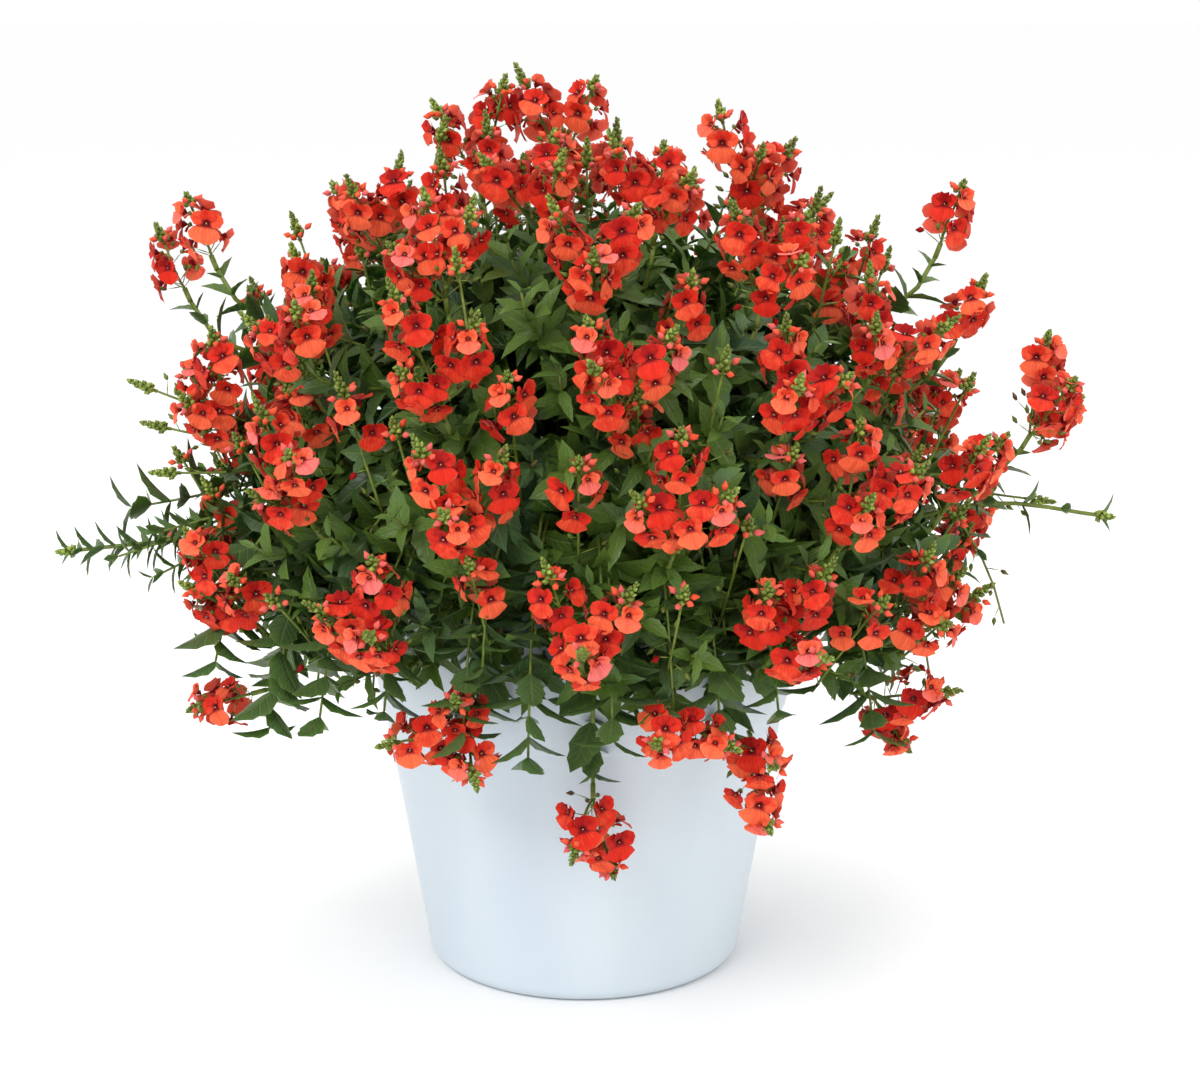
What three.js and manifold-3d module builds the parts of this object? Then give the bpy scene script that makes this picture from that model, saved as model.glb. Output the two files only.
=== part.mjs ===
// Potted twinspur: a pale nursery pot, its soil, a leafy bush, trailing stems and bunches of coral flowers.
// Millimetres, +Z up. The origin is the centre of the pot's underside, and the photographed front is -Y.
import * as THREE from 'three';
import { mergeVertices } from 'three/addons/utils/BufferGeometryUtils.js';
import Module from 'manifold-3d';

const wasm = await Module();
wasm.setup();

// Clearances
const GAP = 0.3;
const CLEARANCE = 0.5;
const SEAT_GAP = 0.45;
const STEM_CLEARANCE = 0.2;
const SIMPLIFY = 0.02;

// The pot
const POT_HEIGHT = 236;
const POT_FOOT_RADIUS = 93;
const POT_FOOT_ROUND = 9;
const POT_FOOT_BEND = [[1.1, 0], [0.4, 0.26], [0, 1]];
const POT_TAPER = 0.172;
const POT_WALL = 2.6;
const POT_FLOOR = 3;
const POT_INNER_ROUND = 5.4;
const BAND_BOTTOM = 156;
const BAND_PROUD = 1.4;
const LIP_HEIGHT = 9;
const LIP_PROUD = 1.8;
const LIP_CHAMFER = 1.5;
const POT_SIDES = 30;
const DRAIN_COUNT = 4;
const DRAIN_RADIUS = 6;
const DRAIN_SIDES = 8;
const DRAIN_RING = 62;
const DRAIN_TURN = 18;

// The soil
const SOIL_EDGE = 216;
const SOIL_CROWN = 222;
const SOIL_SHOULDER = { width: 30, rise: 2.5 };
const SOIL_LUMP = 1.2;
const ROOT_DEPTH = 28;

// The mound that the flowers stand on: its middle, and how deep it is from front to back
const CROWN = new THREE.Vector3(0, 0, 222);
const MOUND_DEPTH = 0.86;

// The bush
const CORE_MIDDLE = new THREE.Vector3(0, 0, 308);
const CORE_RADIUS = new THREE.Vector3(168, 132, 78);
const CORE_UNDER = 60;
const CORE_ROUGHNESS = 0.1;
const CORE_DETAIL = 3;
const CORE_SPIKE = 0.1;
const CORE_SPIKE_SPREAD = 0.16;
const CORE_LOWEST_STEM = -0.06;
const CORE_STEM_START = 0.7;
const CORE_TIP_SLANT = 0.45;
const CORE_SKIRT = { from: 0.82, wider: 1.12, ring: 168, drop: 30, clearTurn: 13 };
const TRUNK_COUNT = 7;
const TRUNK_RADIUS = 3;
const TRUNK_RING = 44;
const TRUNK_TURN = 10;
const STEM_RADIUS = 1.6;
const STEM_KNEE = 0.4;
const STEM_RISE = 0.35;
const STEM_ROOT_RING = 101;
const BEND_TURN = 0.4;
const RIM_SHOULDER = { ring: 115, above: 11 };
const RIM_CREST = { ring: 150, above: 19 };

// A flower head, larger than life: its florets are few
const FLORET_RADIUS = 14;
const FLORET_REACH = 10;
const FLORET_THROAT = 3.5;
const FLORET_TILT = 16;
const FLORET_OFFSETS = [3, 0, -4];
const LOBE_NOTCH = 0.8;
const LOBE_WAVE = 1;
const STALK_RADIUS = 1.2;
const SPIRE_RADIUS = 2.4;
const SPIRE_LENGTH = 13;
const CALYX_RADIUS = 1.7;
const CALYX_LENGTH = 9;
const HEAD_OVERSHOOT = 6;
const HEAD_SPACING = 34;
const HEAD_SCATTER = { angle: 0.3, narrowest: 0.9, spread: 0.25, rise: 16, twist: 50 };
const FORK_DEPTH = 38;
const SHORT_FORK_DEPTH = 26;
const PEDUNCLE_LENGTH = 8;
const PEDUNCLE_RADIUS = 1.8;
const STALK_ASIDE = 2;

// The lobes of a floret as angle from the top and share of its radius: two small, two at the sides, a lip
const LOBES = [
  [28, 0.88], [58, 0.66], [92, 1.0], [137, 0.72], [180, 1.12],
  [223, 0.72], [268, 1.0], [302, 0.66], [332, 0.88],
];

// One side of a leaf as share of its length and of its half width, from the root to the tip, with its teeth
const LEAF_SIDE = [[0.14, 0.42], [0.43, 1.0], [0.47, 0.78], [0.73, 0.62]];
const LEAF_HALF_THICKNESS = 0.7;
const LEAF_MIDDLE = 0.36;
const LEAF_NECK = 1.1;
const LEAF_CUP = 0.12;
const LEAFY_STEM_STRIDE = 4;
const BUSH_PAIR_AT = 0.72;
const BUSH_LEAF = { length: 36, halfWidth: 9, rise: 0.5, droop: 0.3 };
const TRAILING_LEAF = { length: 36, halfWidth: 10, rise: 0.4, droop: 0.4 };
const BUD_STEM_LEAF = { length: 25, halfWidth: 5, rise: 0.6, droop: 0.2 };
const CORE_LEAF_STRIDE = 10;
const CORE_LEAF_ROOT = 3;
const CORE_LEAF = { shortest: 44, range: 10, slender: 0.25, droop: 0.16 };
const CORE_LEAF_SLANT = { aside: 1.2, upwards: 0.25, downwards: 0.3 };

// Flower bunches: turn from +X seen from above and lean from upright in degrees, reach from the crown, heads
const BUNCHES = [
  [145, 3, 283, 2], [172, 13, 277, 2], [-10, 21, 274, 3], [-61, 19, 266, 3], [-108, 18, 264, 3],
  [-162, 28, 266, 3], [-122, 34, 263, 3], [-87, 34, 263, 3], [-50, 37, 263, 3], [-176, 45, 310, 1],
  [174, 51, 312, 1], [-144, 49, 260, 3], [-113, 50, 260, 3], [-84, 51, 259, 3], [-57, 54, 259, 3],
  [-31, 49, 260, 3], [-3, 43, 309, 1], [1, 53, 281, 1], [-7, 65, 302, 3], [-168, 60, 256, 3],
  [-133, 66, 252, 3], [-105, 67, 252, 3], [-77, 67, 252, 3], [-49, 68, 250, 3], [-22, 69, 250, 2],
  [-148, 83, 237, 3], [-118, 82, 240, 3], [-90, 82, 239, 3], [-62, 83, 239, 3], [-36, 84, 236, 3],
  [95, 22, 266, 3], [42, 36, 264, 3], [142, 38, 264, 3], [92, 50, 260, 3], [30, 66, 252, 3],
  [68, 67, 252, 3], [113, 67, 252, 3], [150, 66, 254, 3], [48, 86, 236, 3], [132, 86, 236, 3],
];

// Trailing stems over the rim, each with the bunch at its end, in the same terms
const TRAILING = [
  [-110, 101, 216, 3], [-75, 98, 222, 2], [-60, 110, 210, 2], [-27, 104, 216, 2], [-88, 121, 206, 2],
  [-163, 104, 230, 1], [90, 99, 226, 2],
];

// How a trailing stem ends: straight at the bunch, after a point that is back from it and above it, and where
// its leaf pairs are, as shares of its length
const HANG = { straight: 8, back: 6, above: 18, steps: 8, pairs: [0.45, 0.75] };

// Long bud stems: the tip of each, and how many leaf pairs it has
const BUD_STEMS = [
  { name: 'bud_stem_left', tip: [-302, -22, 248], pairs: 6 },
  { name: 'bud_stem_right', tip: [300, -38, 272], pairs: 3 },
];

// How a bud stem bends before its tip, and where its leaf pairs are, as shares of its length
const BUD_STEM = { bend: 0.76, rise: 6, steps: 7, firstPair: 0.97, spacing: 0.1 };

const COLOURS = {
  pot: 0xd9e6ee,
  soil: 0x3a2a20,
  leaf: 0x3d5a2c,
  flower: 0xe2452f,
};

const UP = new THREE.Vector3(0, 0, 1);
const radians = THREE.MathUtils.degToRad;

// A repeatable run of numbers from 0 to 1 for one seed.
function randomFrom(seed) {
  let state = seed;
  return () => {
    state = (state + 0x6d2b79f5) | 0;
    let mixed = Math.imul(state ^ (state >>> 15), 1 | state);
    mixed = (mixed + Math.imul(mixed ^ (mixed >>> 7), 61 | mixed)) ^ mixed;
    return ((mixed ^ (mixed >>> 14)) >>> 0) / 4294967296;
  };
}

// A geometry with its shared vertices merged, as the solid library needs it.
function welded(geometry) {
  const bare = geometry.clone();
  bare.deleteAttribute('normal');
  bare.deleteAttribute('uv');
  return mergeVertices(bare, 1e-4);
}

// A closed geometry as a solid.
function solidOf(geometry) {
  const merged = welded(geometry);
  const triVerts = [];
  for (let i = 0; i < merged.index.count; i += 3) {
    const [a, b, c] = [0, 1, 2].map((k) => merged.index.getX(i + k));
    if (a !== b && b !== c && c !== a) triVerts.push(a, b, c);
  }
  const vertProperties = new Float32Array(merged.attributes.position.array);
  return new wasm.Manifold(
    new wasm.Mesh({ numProp: 3, vertProperties, triVerts: new Uint32Array(triVerts) }),
  );
}

// One body out of pieces that cross each other. Loose scraps are dropped and sealed hollows are filled.
function fused(pieces) {
  const bodies = wasm.Manifold.union(pieces).simplify(SIMPLIFY).decompose();
  return bodies.reduce((largest, body) => (body.volume() > largest.volume() ? body : largest));
}

// A named mesh out of a solid.
function meshOf(name, solid, colour, roughness) {
  const { vertProperties, triVerts } = solid.getMesh();
  const geometry = new THREE.BufferGeometry();
  geometry.setAttribute('position', new THREE.BufferAttribute(new Float32Array(vertProperties), 3));
  geometry.setIndex(new THREE.BufferAttribute(new Uint32Array(triVerts), 1));
  geometry.computeVertexNormals();
  const material = new THREE.MeshStandardMaterial({ color: colour, roughness, metalness: 0 });
  const mesh = new THREE.Mesh(geometry, material);
  mesh.name = name;
  return mesh;
}

// The direction that turns from +X about the upright and leans from it, both in degrees.
function direction(turn, lean) {
  const flat = Math.sin(radians(lean));
  return new THREE.Vector3(
    flat * Math.cos(radians(turn)),
    flat * Math.sin(radians(turn)),
    Math.cos(radians(lean)),
  );
}

// A point of the mound, which is shallower from front to back than it is wide.
function moundPoint(turn, lean, reach) {
  const point = direction(turn, lean).multiplyScalar(reach);
  point.y *= MOUND_DEPTH;
  return point.add(CROWN);
}

// A placing at a point, with local +Z along forward and local +Y as near as possible to upward.
function placing(point, forward, upward) {
  const z = forward.clone().normalize();
  const x = new THREE.Vector3().crossVectors(upward, z);
  if (x.lengthSq() < 1e-6) x.crossVectors(new THREE.Vector3(0, 1, 0.1), z);
  x.normalize();
  const y = new THREE.Vector3().crossVectors(z, x);
  return new THREE.Matrix4().makeBasis(x, y, z).setPosition(point);
}

// A regular outline for a stem's section.
function section(radius, sides) {
  const corners = Array.from({ length: sides }, (_, i) => {
    const angle = ((i + 0.5) / sides) * 2 * Math.PI;
    return new THREE.Vector2(radius * Math.cos(angle), radius * Math.sin(angle));
  });
  return new THREE.Shape(corners);
}

// A stem of even thickness along a curve.
function stemAlong(curve, radius, sides, steps) {
  const options = { steps, extrudePath: curve, bevelEnabled: false };
  return solidOf(new THREE.ExtrudeGeometry(section(radius, sides), options));
}

// An upright prism that cuts the hole of a stem in the soil, with its corners where the stem has them.
function uprightHole(curve, radius, sides) {
  const foot = curve.getPointAt(0);
  const bottom = foot.clone().setZ(foot.z - GAP);
  const top = foot.clone().setZ(SOIL_CROWN + 8);
  const wider = radius + GAP / Math.cos(Math.PI / sides);
  return stemAlong(new THREE.LineCurve3(bottom, top), wider, sides, 1);
}

// The pot

function potWall(height) {
  return POT_FOOT_RADIUS + (height - POT_FOOT_ROUND) * POT_TAPER;
}

function buildPot() {
  const foot = POT_FOOT_RADIUS;
  const round = POT_FOOT_ROUND;
  const lipBottom = POT_HEIGHT - LIP_HEIGHT;
  const profile = [
    [0, 0],
    ...POT_FOOT_BEND.map(([inwards, upwards]) => [foot - round * inwards, round * upwards]),
    [potWall(BAND_BOTTOM), BAND_BOTTOM],
    [potWall(BAND_BOTTOM) + BAND_PROUD, BAND_BOTTOM + BAND_PROUD],
    [potWall(lipBottom) + BAND_PROUD, lipBottom],
    [potWall(lipBottom) + BAND_PROUD + LIP_PROUD, lipBottom + LIP_PROUD],
    [potWall(POT_HEIGHT) + BAND_PROUD + LIP_PROUD, POT_HEIGHT - LIP_CHAMFER],
    [potWall(POT_HEIGHT) + BAND_PROUD, POT_HEIGHT],
    [potWall(POT_HEIGHT) - POT_WALL, POT_HEIGHT],
    [foot - POT_WALL, round],
    [foot - POT_WALL - POT_INNER_ROUND, POT_FLOOR],
    [0, POT_FLOOR],
  ].map(([radius, height]) => new THREE.Vector2(radius, height));
  const shell = new THREE.LatheGeometry(profile, POT_SIDES).rotateX(Math.PI / 2);
  let pot = solidOf(shell);
  for (let i = 0; i < DRAIN_COUNT; i += 1) {
    const centre = direction((i * 360) / DRAIN_COUNT + DRAIN_TURN, 90).multiplyScalar(DRAIN_RING);
    const drill = new THREE.CylinderGeometry(DRAIN_RADIUS, DRAIN_RADIUS, POT_FLOOR * 4, DRAIN_SIDES);
    drill.rotateX(Math.PI / 2).translate(centre.x, centre.y, 0);
    pot = pot.subtract(solidOf(drill));
  }
  return pot;
}

// The soil: a filling that stands clear of the pot by the gap, with a low uneven crown and the stems' holes.

function buildSoil(holes) {
  const inset = POT_WALL + GAP * 1.2;
  const bottom = POT_FLOOR + GAP;
  const profile = [
    [0, bottom],
    [POT_FOOT_RADIUS - inset - POT_INNER_ROUND, bottom],
    [POT_FOOT_RADIUS - inset, POT_FOOT_ROUND + GAP],
    [potWall(SOIL_EDGE) - inset, SOIL_EDGE],
    [potWall(SOIL_EDGE) - inset - SOIL_SHOULDER.width, SOIL_EDGE + SOIL_SHOULDER.rise],
    [0, SOIL_CROWN],
  ].map(([radius, height]) => new THREE.Vector2(radius, height));
  const filling = new THREE.LatheGeometry(profile, POT_SIDES).rotateX(Math.PI / 2);
  const places = filling.attributes.position;
  for (let i = 0; i < places.count; i += 1) {
    if (places.getZ(i) < SOIL_EDGE + 1) continue;
    const lump = Math.sin(places.getX(i) * 0.9) * Math.cos(places.getY(i) * 0.7);
    places.setZ(i, places.getZ(i) + SOIL_LUMP * lump);
  }
  return holes.reduce((soil, hole) => soil.subtract(hole), solidOf(filling));
}

// Leaves and florets

// A thin closed solid. Each corner of its outline, named counterclockwise, lists the hubs that its triangles
// meet, and each hub stands half a thickness off the middle on both faces, so the faces are split alike.
function lens(corners, hubs) {
  const count = corners.length;
  const places = [
    ...corners.map(({ at }) => at),
    ...hubs.map(({ at, half }) => at.map((value, k) => value + half[k])),
    ...hubs.map(({ at, half }) => at.map((value, k) => value - half[k])),
  ];
  const index = [];
  corners.forEach(({ meets }, i) => {
    const next = (i + 1) % count;
    const last = count + meets[meets.length - 1];
    index.push(i, next, last, next, i, last + hubs.length);
    for (let k = 1; k < meets.length; k += 1) {
      const [before, after] = [count + meets[k - 1], count + meets[k]];
      index.push(i, after, before, i, before + hubs.length, after + hubs.length);
    }
  });
  const geometry = new THREE.BufferGeometry();
  geometry.setAttribute('position', new THREE.Float32BufferAttribute(places.flat(), 3));
  return geometry.setIndex(index);
}

// The net of a three-sided stalk along +Z: rings of three corners, a face below and a point on top.
// Side 0 faces 60 degrees from +X, side 1 faces -X and side 2 faces -60 degrees.
function stalkNet(rings, tip) {
  const places = rings.flatMap(([radius, height]) => [0, 120, 240].map((turn) => [
    radius * Math.cos(radians(turn)),
    radius * Math.sin(radians(turn)),
    height,
  ]));
  places.push([0, 0, tip]);
  return places;
}

// A floret that grows out of the four corners of one side of its stalk, named counterclockwise from the lower
// left. Its back runs from them to the lobes like a funnel, and its throat is sunk in front.
function growFloret(places, index, quad, facing, height) {
  const tilt = radians(FLORET_TILT);
  const flat = [Math.cos(radians(facing)), Math.sin(radians(facing))];
  const put = (x, y, z) => {
    const out = FLORET_REACH + z * Math.cos(tilt) - y * Math.sin(tilt);
    const up = height + z * Math.sin(tilt) + y * Math.cos(tilt);
    places.push([flat[0] * out - flat[1] * x, flat[1] * out + flat[0] * x, up]);
    return places.length - 1;
  };
  const lobes = LOBES.map(([angle, share]) => put(
    -FLORET_RADIUS * share * Math.sin(radians(angle)),
    FLORET_RADIUS * share * Math.cos(radians(angle)),
    share > LOBE_NOTCH ? -LOBE_WAVE : LOBE_WAVE,
  ));
  const throat = put(0, 0, -FLORET_THROAT);
  const [lowLeft, lowRight, highRight, highLeft] = quad;
  const corners = LOBES.map(([angle]) => (
    [highLeft, lowLeft, lowRight, highRight][Math.ceil(angle / 90) - 1]
  ));
  lobes.forEach((lobe, i) => {
    const next = (i + 1) % lobes.length;
    index.push(lobe, lobes[next], throat);
    index.push(lobes[next], lobe, corners[i]);
    if (corners[next] !== corners[i]) index.push(lobes[next], corners[i], corners[next]);
  });
}

// A flower head along +Z from its foot at the origin: a stalk that ends in a bud spire, with florets out of
// the named sides. The florets of sides 0 and 2 face away on both sides of +X, and that of side 1 faces back.
function flowerHead(length, florets) {
  const rings = [[STALK_RADIUS, 0], [CALYX_RADIUS, length - CALYX_LENGTH], [SPIRE_RADIUS, length]];
  const places = stalkNet(rings, length + SPIRE_LENGTH);
  const index = [2, 1, 0];
  const corner = (ring, side) => ring * 3 + (side % 3);
  for (let side = 0; side < 3; side += 1) {
    for (let ring = 0; ring < rings.length - 1; ring += 1) {
      const quad = [
        corner(ring, side), corner(ring, side + 1), corner(ring + 1, side + 1), corner(ring + 1, side),
      ];
      if (ring === 1 && florets.includes(side)) {
        const height = length - CALYX_LENGTH / 2 + FLORET_OFFSETS[side];
        growFloret(places, index, quad, 60 + 120 * side, height);
      } else {
        const [a, b, c, d] = quad;
        index.push(a, b, c, a, c, d);
      }
    }
    index.push(corner(rings.length - 1, side), corner(rings.length - 1, side + 1), rings.length * 3);
  }
  const geometry = new THREE.BufferGeometry();
  geometry.setAttribute('position', new THREE.Float32BufferAttribute(places.flat(), 3));
  return geometry.setIndex(index);
}

// The corners of one side of a leaf from its root to its tip, on the right for -1 and on the left for +1.
function leafSide(size, side, forward, hub) {
  const { length, halfWidth, rise, droop } = size;
  return LEAF_SIDE.map(([along, across]) => {
    const x = forward * along * length;
    const z = rise * along * length - droop * length * along * along + LEAF_CUP * halfWidth * across;
    return { at: [x, side * across * halfWidth, z], meets: [hub] };
  });
}

function leafTip({ length, rise, droop }, forward, hub) {
  return { at: [forward * length, 0, (rise - droop) * length], meets: [hub] };
}

function leafHub({ length, rise, droop }, forward) {
  const z = rise * LEAF_MIDDLE * length - droop * length * LEAF_MIDDLE * LEAF_MIDDLE;
  return { at: [forward * LEAF_MIDDLE * length, 0, z], half: [0, 0, LEAF_HALF_THICKNESS] };
}

// A leaf along +X with its root at the origin and its face up.
function leaf(size) {
  const neck = { at: [0, 0, 0], half: [0, 0, LEAF_HALF_THICKNESS] };
  const corners = [
    { at: [0, -LEAF_NECK, 0], meets: [1, 0] },
    ...leafSide(size, -1, 1, 0),
    leafTip(size, 1, 0),
    ...leafSide(size, 1, 1, 0).reverse(),
    { at: [0, LEAF_NECK, 0], meets: [0, 1] },
  ];
  return lens(corners, [leafHub(size, 1), neck]);
}

// Two opposite leaves along +X and -X, grown together through the stem, which runs along +Z.
function leafPair(size) {
  const neck = { at: [0, 0, 0], half: [0, 0, LEAF_HALF_THICKNESS * 1.4] };
  const corners = [
    { at: [0, -LEAF_NECK, 0], meets: [1, 2, 0] },
    ...leafSide(size, -1, 1, 0),
    leafTip(size, 1, 0),
    ...leafSide(size, 1, 1, 0).reverse(),
    { at: [0, LEAF_NECK, 0], meets: [0, 2, 1] },
    ...leafSide(size, 1, -1, 1),
    leafTip(size, -1, 1),
    ...leafSide(size, -1, -1, 1).reverse(),
  ];
  return lens(corners, [leafHub(size, 1), leafHub(size, -1), neck]);
}

// Bodies that are grown piece by piece

class Growth {
  constructor(name, colour) {
    this.name = name;
    this.colour = colour;
    this.pieces = [];
  }

  add(solid) {
    this.pieces.push({ solid, box: solid.boundingBox() });
  }

  // Whether a piece stays at least a distance away from every piece here.
  isClearOf(piece, distance) {
    const box = piece.boundingBox();
    return this.pieces.every((own) => {
      const apart = [0, 1, 2].some(
        (k) => own.box.min[k] > box.max[k] + distance || own.box.max[k] < box.min[k] - distance,
      );
      return apart || own.solid.minGap(piece, distance * 2) >= distance;
    });
  }

  mesh() {
    return meshOf(this.name, fused(this.pieces.map((piece) => piece.solid)), this.colour, 0.6);
  }
}

const growths = [];

function grow(name, colour) {
  const growth = new Growth(name, colour);
  growths.push(growth);
  return growth;
}

// Whether a piece of one growth is clear of all the others.
function isFree(piece, own, distance) {
  return growths.every((other) => other === own || other.isClearOf(piece, distance));
}

// Flower bunches

// How far a bunch's stalks lean: upright on top, outwards at the side, hanging below the rim.
function stalkLean(lean) {
  const steps = [[0, 0], [80, 36], [90, 55], [100, 88], [122, 158], [180, 170]];
  const next = steps.findIndex(([from]) => from >= lean);
  if (next <= 0) return steps[0][1];
  const [[a, leanA], [b, leanB]] = [steps[next - 1], steps[next]];
  return leanA + ((leanB - leanA) * (lean - a)) / (b - a);
}

// The places of a bunch: its middle, its axis, its fork and each head's middle and axis.
function bunchPlan([turn, lean, reach, heads], seed) {
  const random = randomFrom(seed);
  const middle = moundPoint(turn, lean, reach);
  const outward = direction(turn, lean);
  const axis = direction(turn, stalkLean(lean));
  const across = new THREE.Vector3().crossVectors(UP, outward);
  if (across.lengthSq() < 0.01) across.set(1, 0, 0);
  across.normalize();
  const along = new THREE.Vector3().crossVectors(outward, across);
  const ring = heads > 1 ? HEAD_SPACING / (2 * Math.sin(Math.PI / heads)) : 0;
  const start = random() * 2 * Math.PI;
  const short = heads === 1 || lean > 90;
  const fork = middle.clone().addScaledVector(axis, short ? -SHORT_FORK_DEPTH : -FORK_DEPTH);
  const plans = [];
  for (let i = 0; i < heads; i += 1) {
    const angle = start + ((i + HEAD_SCATTER.angle * (random() - 0.5)) / heads) * 2 * Math.PI;
    const wide = ring * (HEAD_SCATTER.narrowest + HEAD_SCATTER.spread * random());
    const rise = heads > 1 ? HEAD_SCATTER.rise * (random() - 0.5) : 0;
    const point = middle.clone()
      .addScaledVector(across, wide * Math.cos(angle))
      .addScaledVector(along, wide * Math.sin(angle))
      .addScaledVector(outward, rise);
    const lift = point.clone().sub(fork).normalize();
    plans.push({ point, axis: lift, twist: HEAD_SCATTER.twist * (random() - 0.5) });
  }
  return { middle, outward, axis, fork, heads: plans };
}

// One head of a bunch, with as many florets facing away from the plant as other bunches leave room for.
function addHead(bunch, plan, head) {
  const aside = head.point.clone().sub(plan.middle);
  aside.addScaledVector(plan.axis, -aside.dot(plan.axis));
  if (aside.lengthSq() > 0) aside.setLength(STALK_ASIDE);
  const foot = plan.fork.clone().add(aside).addScaledVector(plan.axis, -1);
  const facing = plan.outward.clone().addScaledVector(head.axis, -plan.outward.dot(head.axis));
  const upright = facing.length() < 0.4;
  if (upright) facing.set(0.2, -1, 0);
  facing.applyAxisAngle(head.axis, radians(head.twist));
  const back = new THREE.Vector3().crossVectors(head.axis, facing);
  const across = new THREE.Vector3().crossVectors(back, head.axis).normalize();
  const place = new THREE.Matrix4().makeBasis(across, back.normalize(), head.axis).setPosition(foot);
  const choices = upright || plan.heads.length === 1 ? [[0, 1, 2], [0, 2]] : [[0, 2]];
  for (const florets of [...choices, [0], [2], []]) {
    const net = flowerHead(head.point.distanceTo(foot) + HEAD_OVERSHOOT, florets);
    const solid = solidOf(net.applyMatrix4(place));
    if (isFree(solid, bunch, CLEARANCE)) {
      bunch.add(solid);
      return;
    }
  }
}

function buildBunch(name, plan) {
  const bunch = grow(name, COLOURS.flower);
  const seat = plan.fork.clone().addScaledVector(plan.axis, -PEDUNCLE_LENGTH);
  const profile = [
    [0, 0],
    [PEDUNCLE_RADIUS, 0],
    [PEDUNCLE_RADIUS + STALK_ASIDE * 0.8, PEDUNCLE_LENGTH],
    [0, PEDUNCLE_LENGTH],
  ].map(([radius, height]) => new THREE.Vector2(radius, height));
  const peduncle = new THREE.LatheGeometry(profile, 4).rotateX(Math.PI / 2);
  bunch.add(solidOf(peduncle.applyMatrix4(placing(seat, plan.axis, UP))));
  plan.heads.forEach((head) => addHead(bunch, plan, head));
}

// Leaves on stems

// A leaf blade at a place that is turned about the place's own axes until it is clear, or else left out.
function addBlade(growth, blade, place, tries) {
  for (const turn of tries) {
    const bent = new THREE.Matrix4().makeRotationFromEuler(new THREE.Euler(...turn.map(radians)));
    const solid = solidOf(blade.clone().applyMatrix4(place.clone().multiply(bent)));
    if (isFree(solid, growth, CLEARANCE)) {
      growth.add(solid);
      return;
    }
  }
}

// Opposite leaf pairs along a stem, each pair turned a quarter against the last.
function addLeafPairs(growth, curve, shares, size, random) {
  const turns = [0, 25, -25, 50, -50, 80];
  shares.forEach((share, i) => {
    const scale = 0.85 + 0.3 * random();
    const start = 90 * (i % 2) + 40 * (random() - 0.5);
    const blade = leafPair({
      length: size.length * scale,
      halfWidth: size.halfWidth * scale,
      rise: size.rise,
      droop: size.droop,
    });
    const place = placing(curve.getPointAt(share), curve.getTangentAt(share), UP);
    addBlade(growth, blade, place, turns.map((turn) => [0, 0, start + turn]));
  });
}

// A curve through points that is bent aside until its stem is clear of the other growths.
function clearStem(growth, curveFor, radius, sides, steps) {
  for (const bend of [0, 8, -8, 16, -16, 26, -26, 38, -38]) {
    const curve = curveFor(bend);
    const solid = stemAlong(curve, radius, sides, steps);
    if (isFree(solid, growth, STEM_CLEARANCE)) {
      growth.add(solid);
      return curve;
    }
  }
  throw new Error(`a stem of ${growth.name} has no clear way`);
}

// The bush

// A point at a share of the core's radius in one direction, before the core is roughened.
function corePoint(way, share) {
  const under = way.z < 0 ? CORE_UNDER : CORE_RADIUS.z;
  const stretched = Math.hypot(way.x / CORE_RADIUS.x, way.y / CORE_RADIUS.y, way.z / under);
  return CORE_MIDDLE.clone().addScaledVector(way, share / stretched);
}

// Whether a point of the core is on its lower edge, where leaf tips droop over the rim, clear of trailing stems.
function inSkirt(point) {
  const turn = THREE.MathUtils.radToDeg(Math.atan2(point.y, point.x));
  const stems = [...TRAILING.map((row) => row[0]), ...BUD_STEMS.map(({ tip }) => (
    THREE.MathUtils.radToDeg(Math.atan2(tip[1], tip[0]))
  ))];
  const apart = (other) => Math.abs(THREE.MathUtils.euclideanModulo(turn - other + 180, 360) - 180);
  return point.z < CORE_MIDDLE.z
    && Math.hypot(point.x / CORE_RADIUS.x, point.y / CORE_RADIUS.y) > CORE_SKIRT.from
    && stems.every((other) => apart(other) > CORE_SKIRT.clearTurn);
}

// The core: a low mound of crowded leaf tips, each a facet drawn out into a point towards its lowest corner,
// with the middle and the outward direction of each facet.
function buildCore(random) {
  const ball = new THREE.IcosahedronGeometry(1, CORE_DETAIL);
  const places = ball.attributes.position;
  const roughened = (way) => {
    const rough = Math.sin(31 * way.x + 17 * way.y) * Math.cos(23 * way.z - 13 * way.x);
    return corePoint(way, 1 + CORE_ROUGHNESS * rough);
  };
  const corners = Array.from({ length: places.count }, (_, i) => (
    roughened(new THREE.Vector3().fromBufferAttribute(places, i).normalize())
  ));
  const facets = [];
  const spiked = [];
  for (let i = 0; i < corners.length; i += 3) {
    const facet = new THREE.Triangle(...corners.slice(i, i + 3));
    const middle = facet.getMidpoint(new THREE.Vector3());
    facets.push({ middle, normal: facet.getNormal(new THREE.Vector3()) });
    const lowest = [facet.a, facet.b, facet.c].reduce((low, corner) => (corner.z < low.z ? corner : low));
    const tip = middle.clone().lerp(lowest, CORE_TIP_SLANT).sub(CORE_MIDDLE);
    tip.multiplyScalar(1 + CORE_SPIKE + CORE_SPIKE_SPREAD * random()).add(CORE_MIDDLE);
    if (inSkirt(middle)) {
      const wider = Math.max(CORE_SKIRT.wider, CORE_SKIRT.ring / Math.hypot(tip.x, tip.y));
      tip.set(tip.x * wider, tip.y * wider, tip.z - CORE_SKIRT.drop);
    }
    spiked.push(facet.a, facet.b, tip, facet.b, facet.c, tip, facet.c, facet.a, tip);
  }
  return { solid: solidOf(new THREE.BufferGeometry().setFromPoints(spiked)), facets };
}

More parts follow.
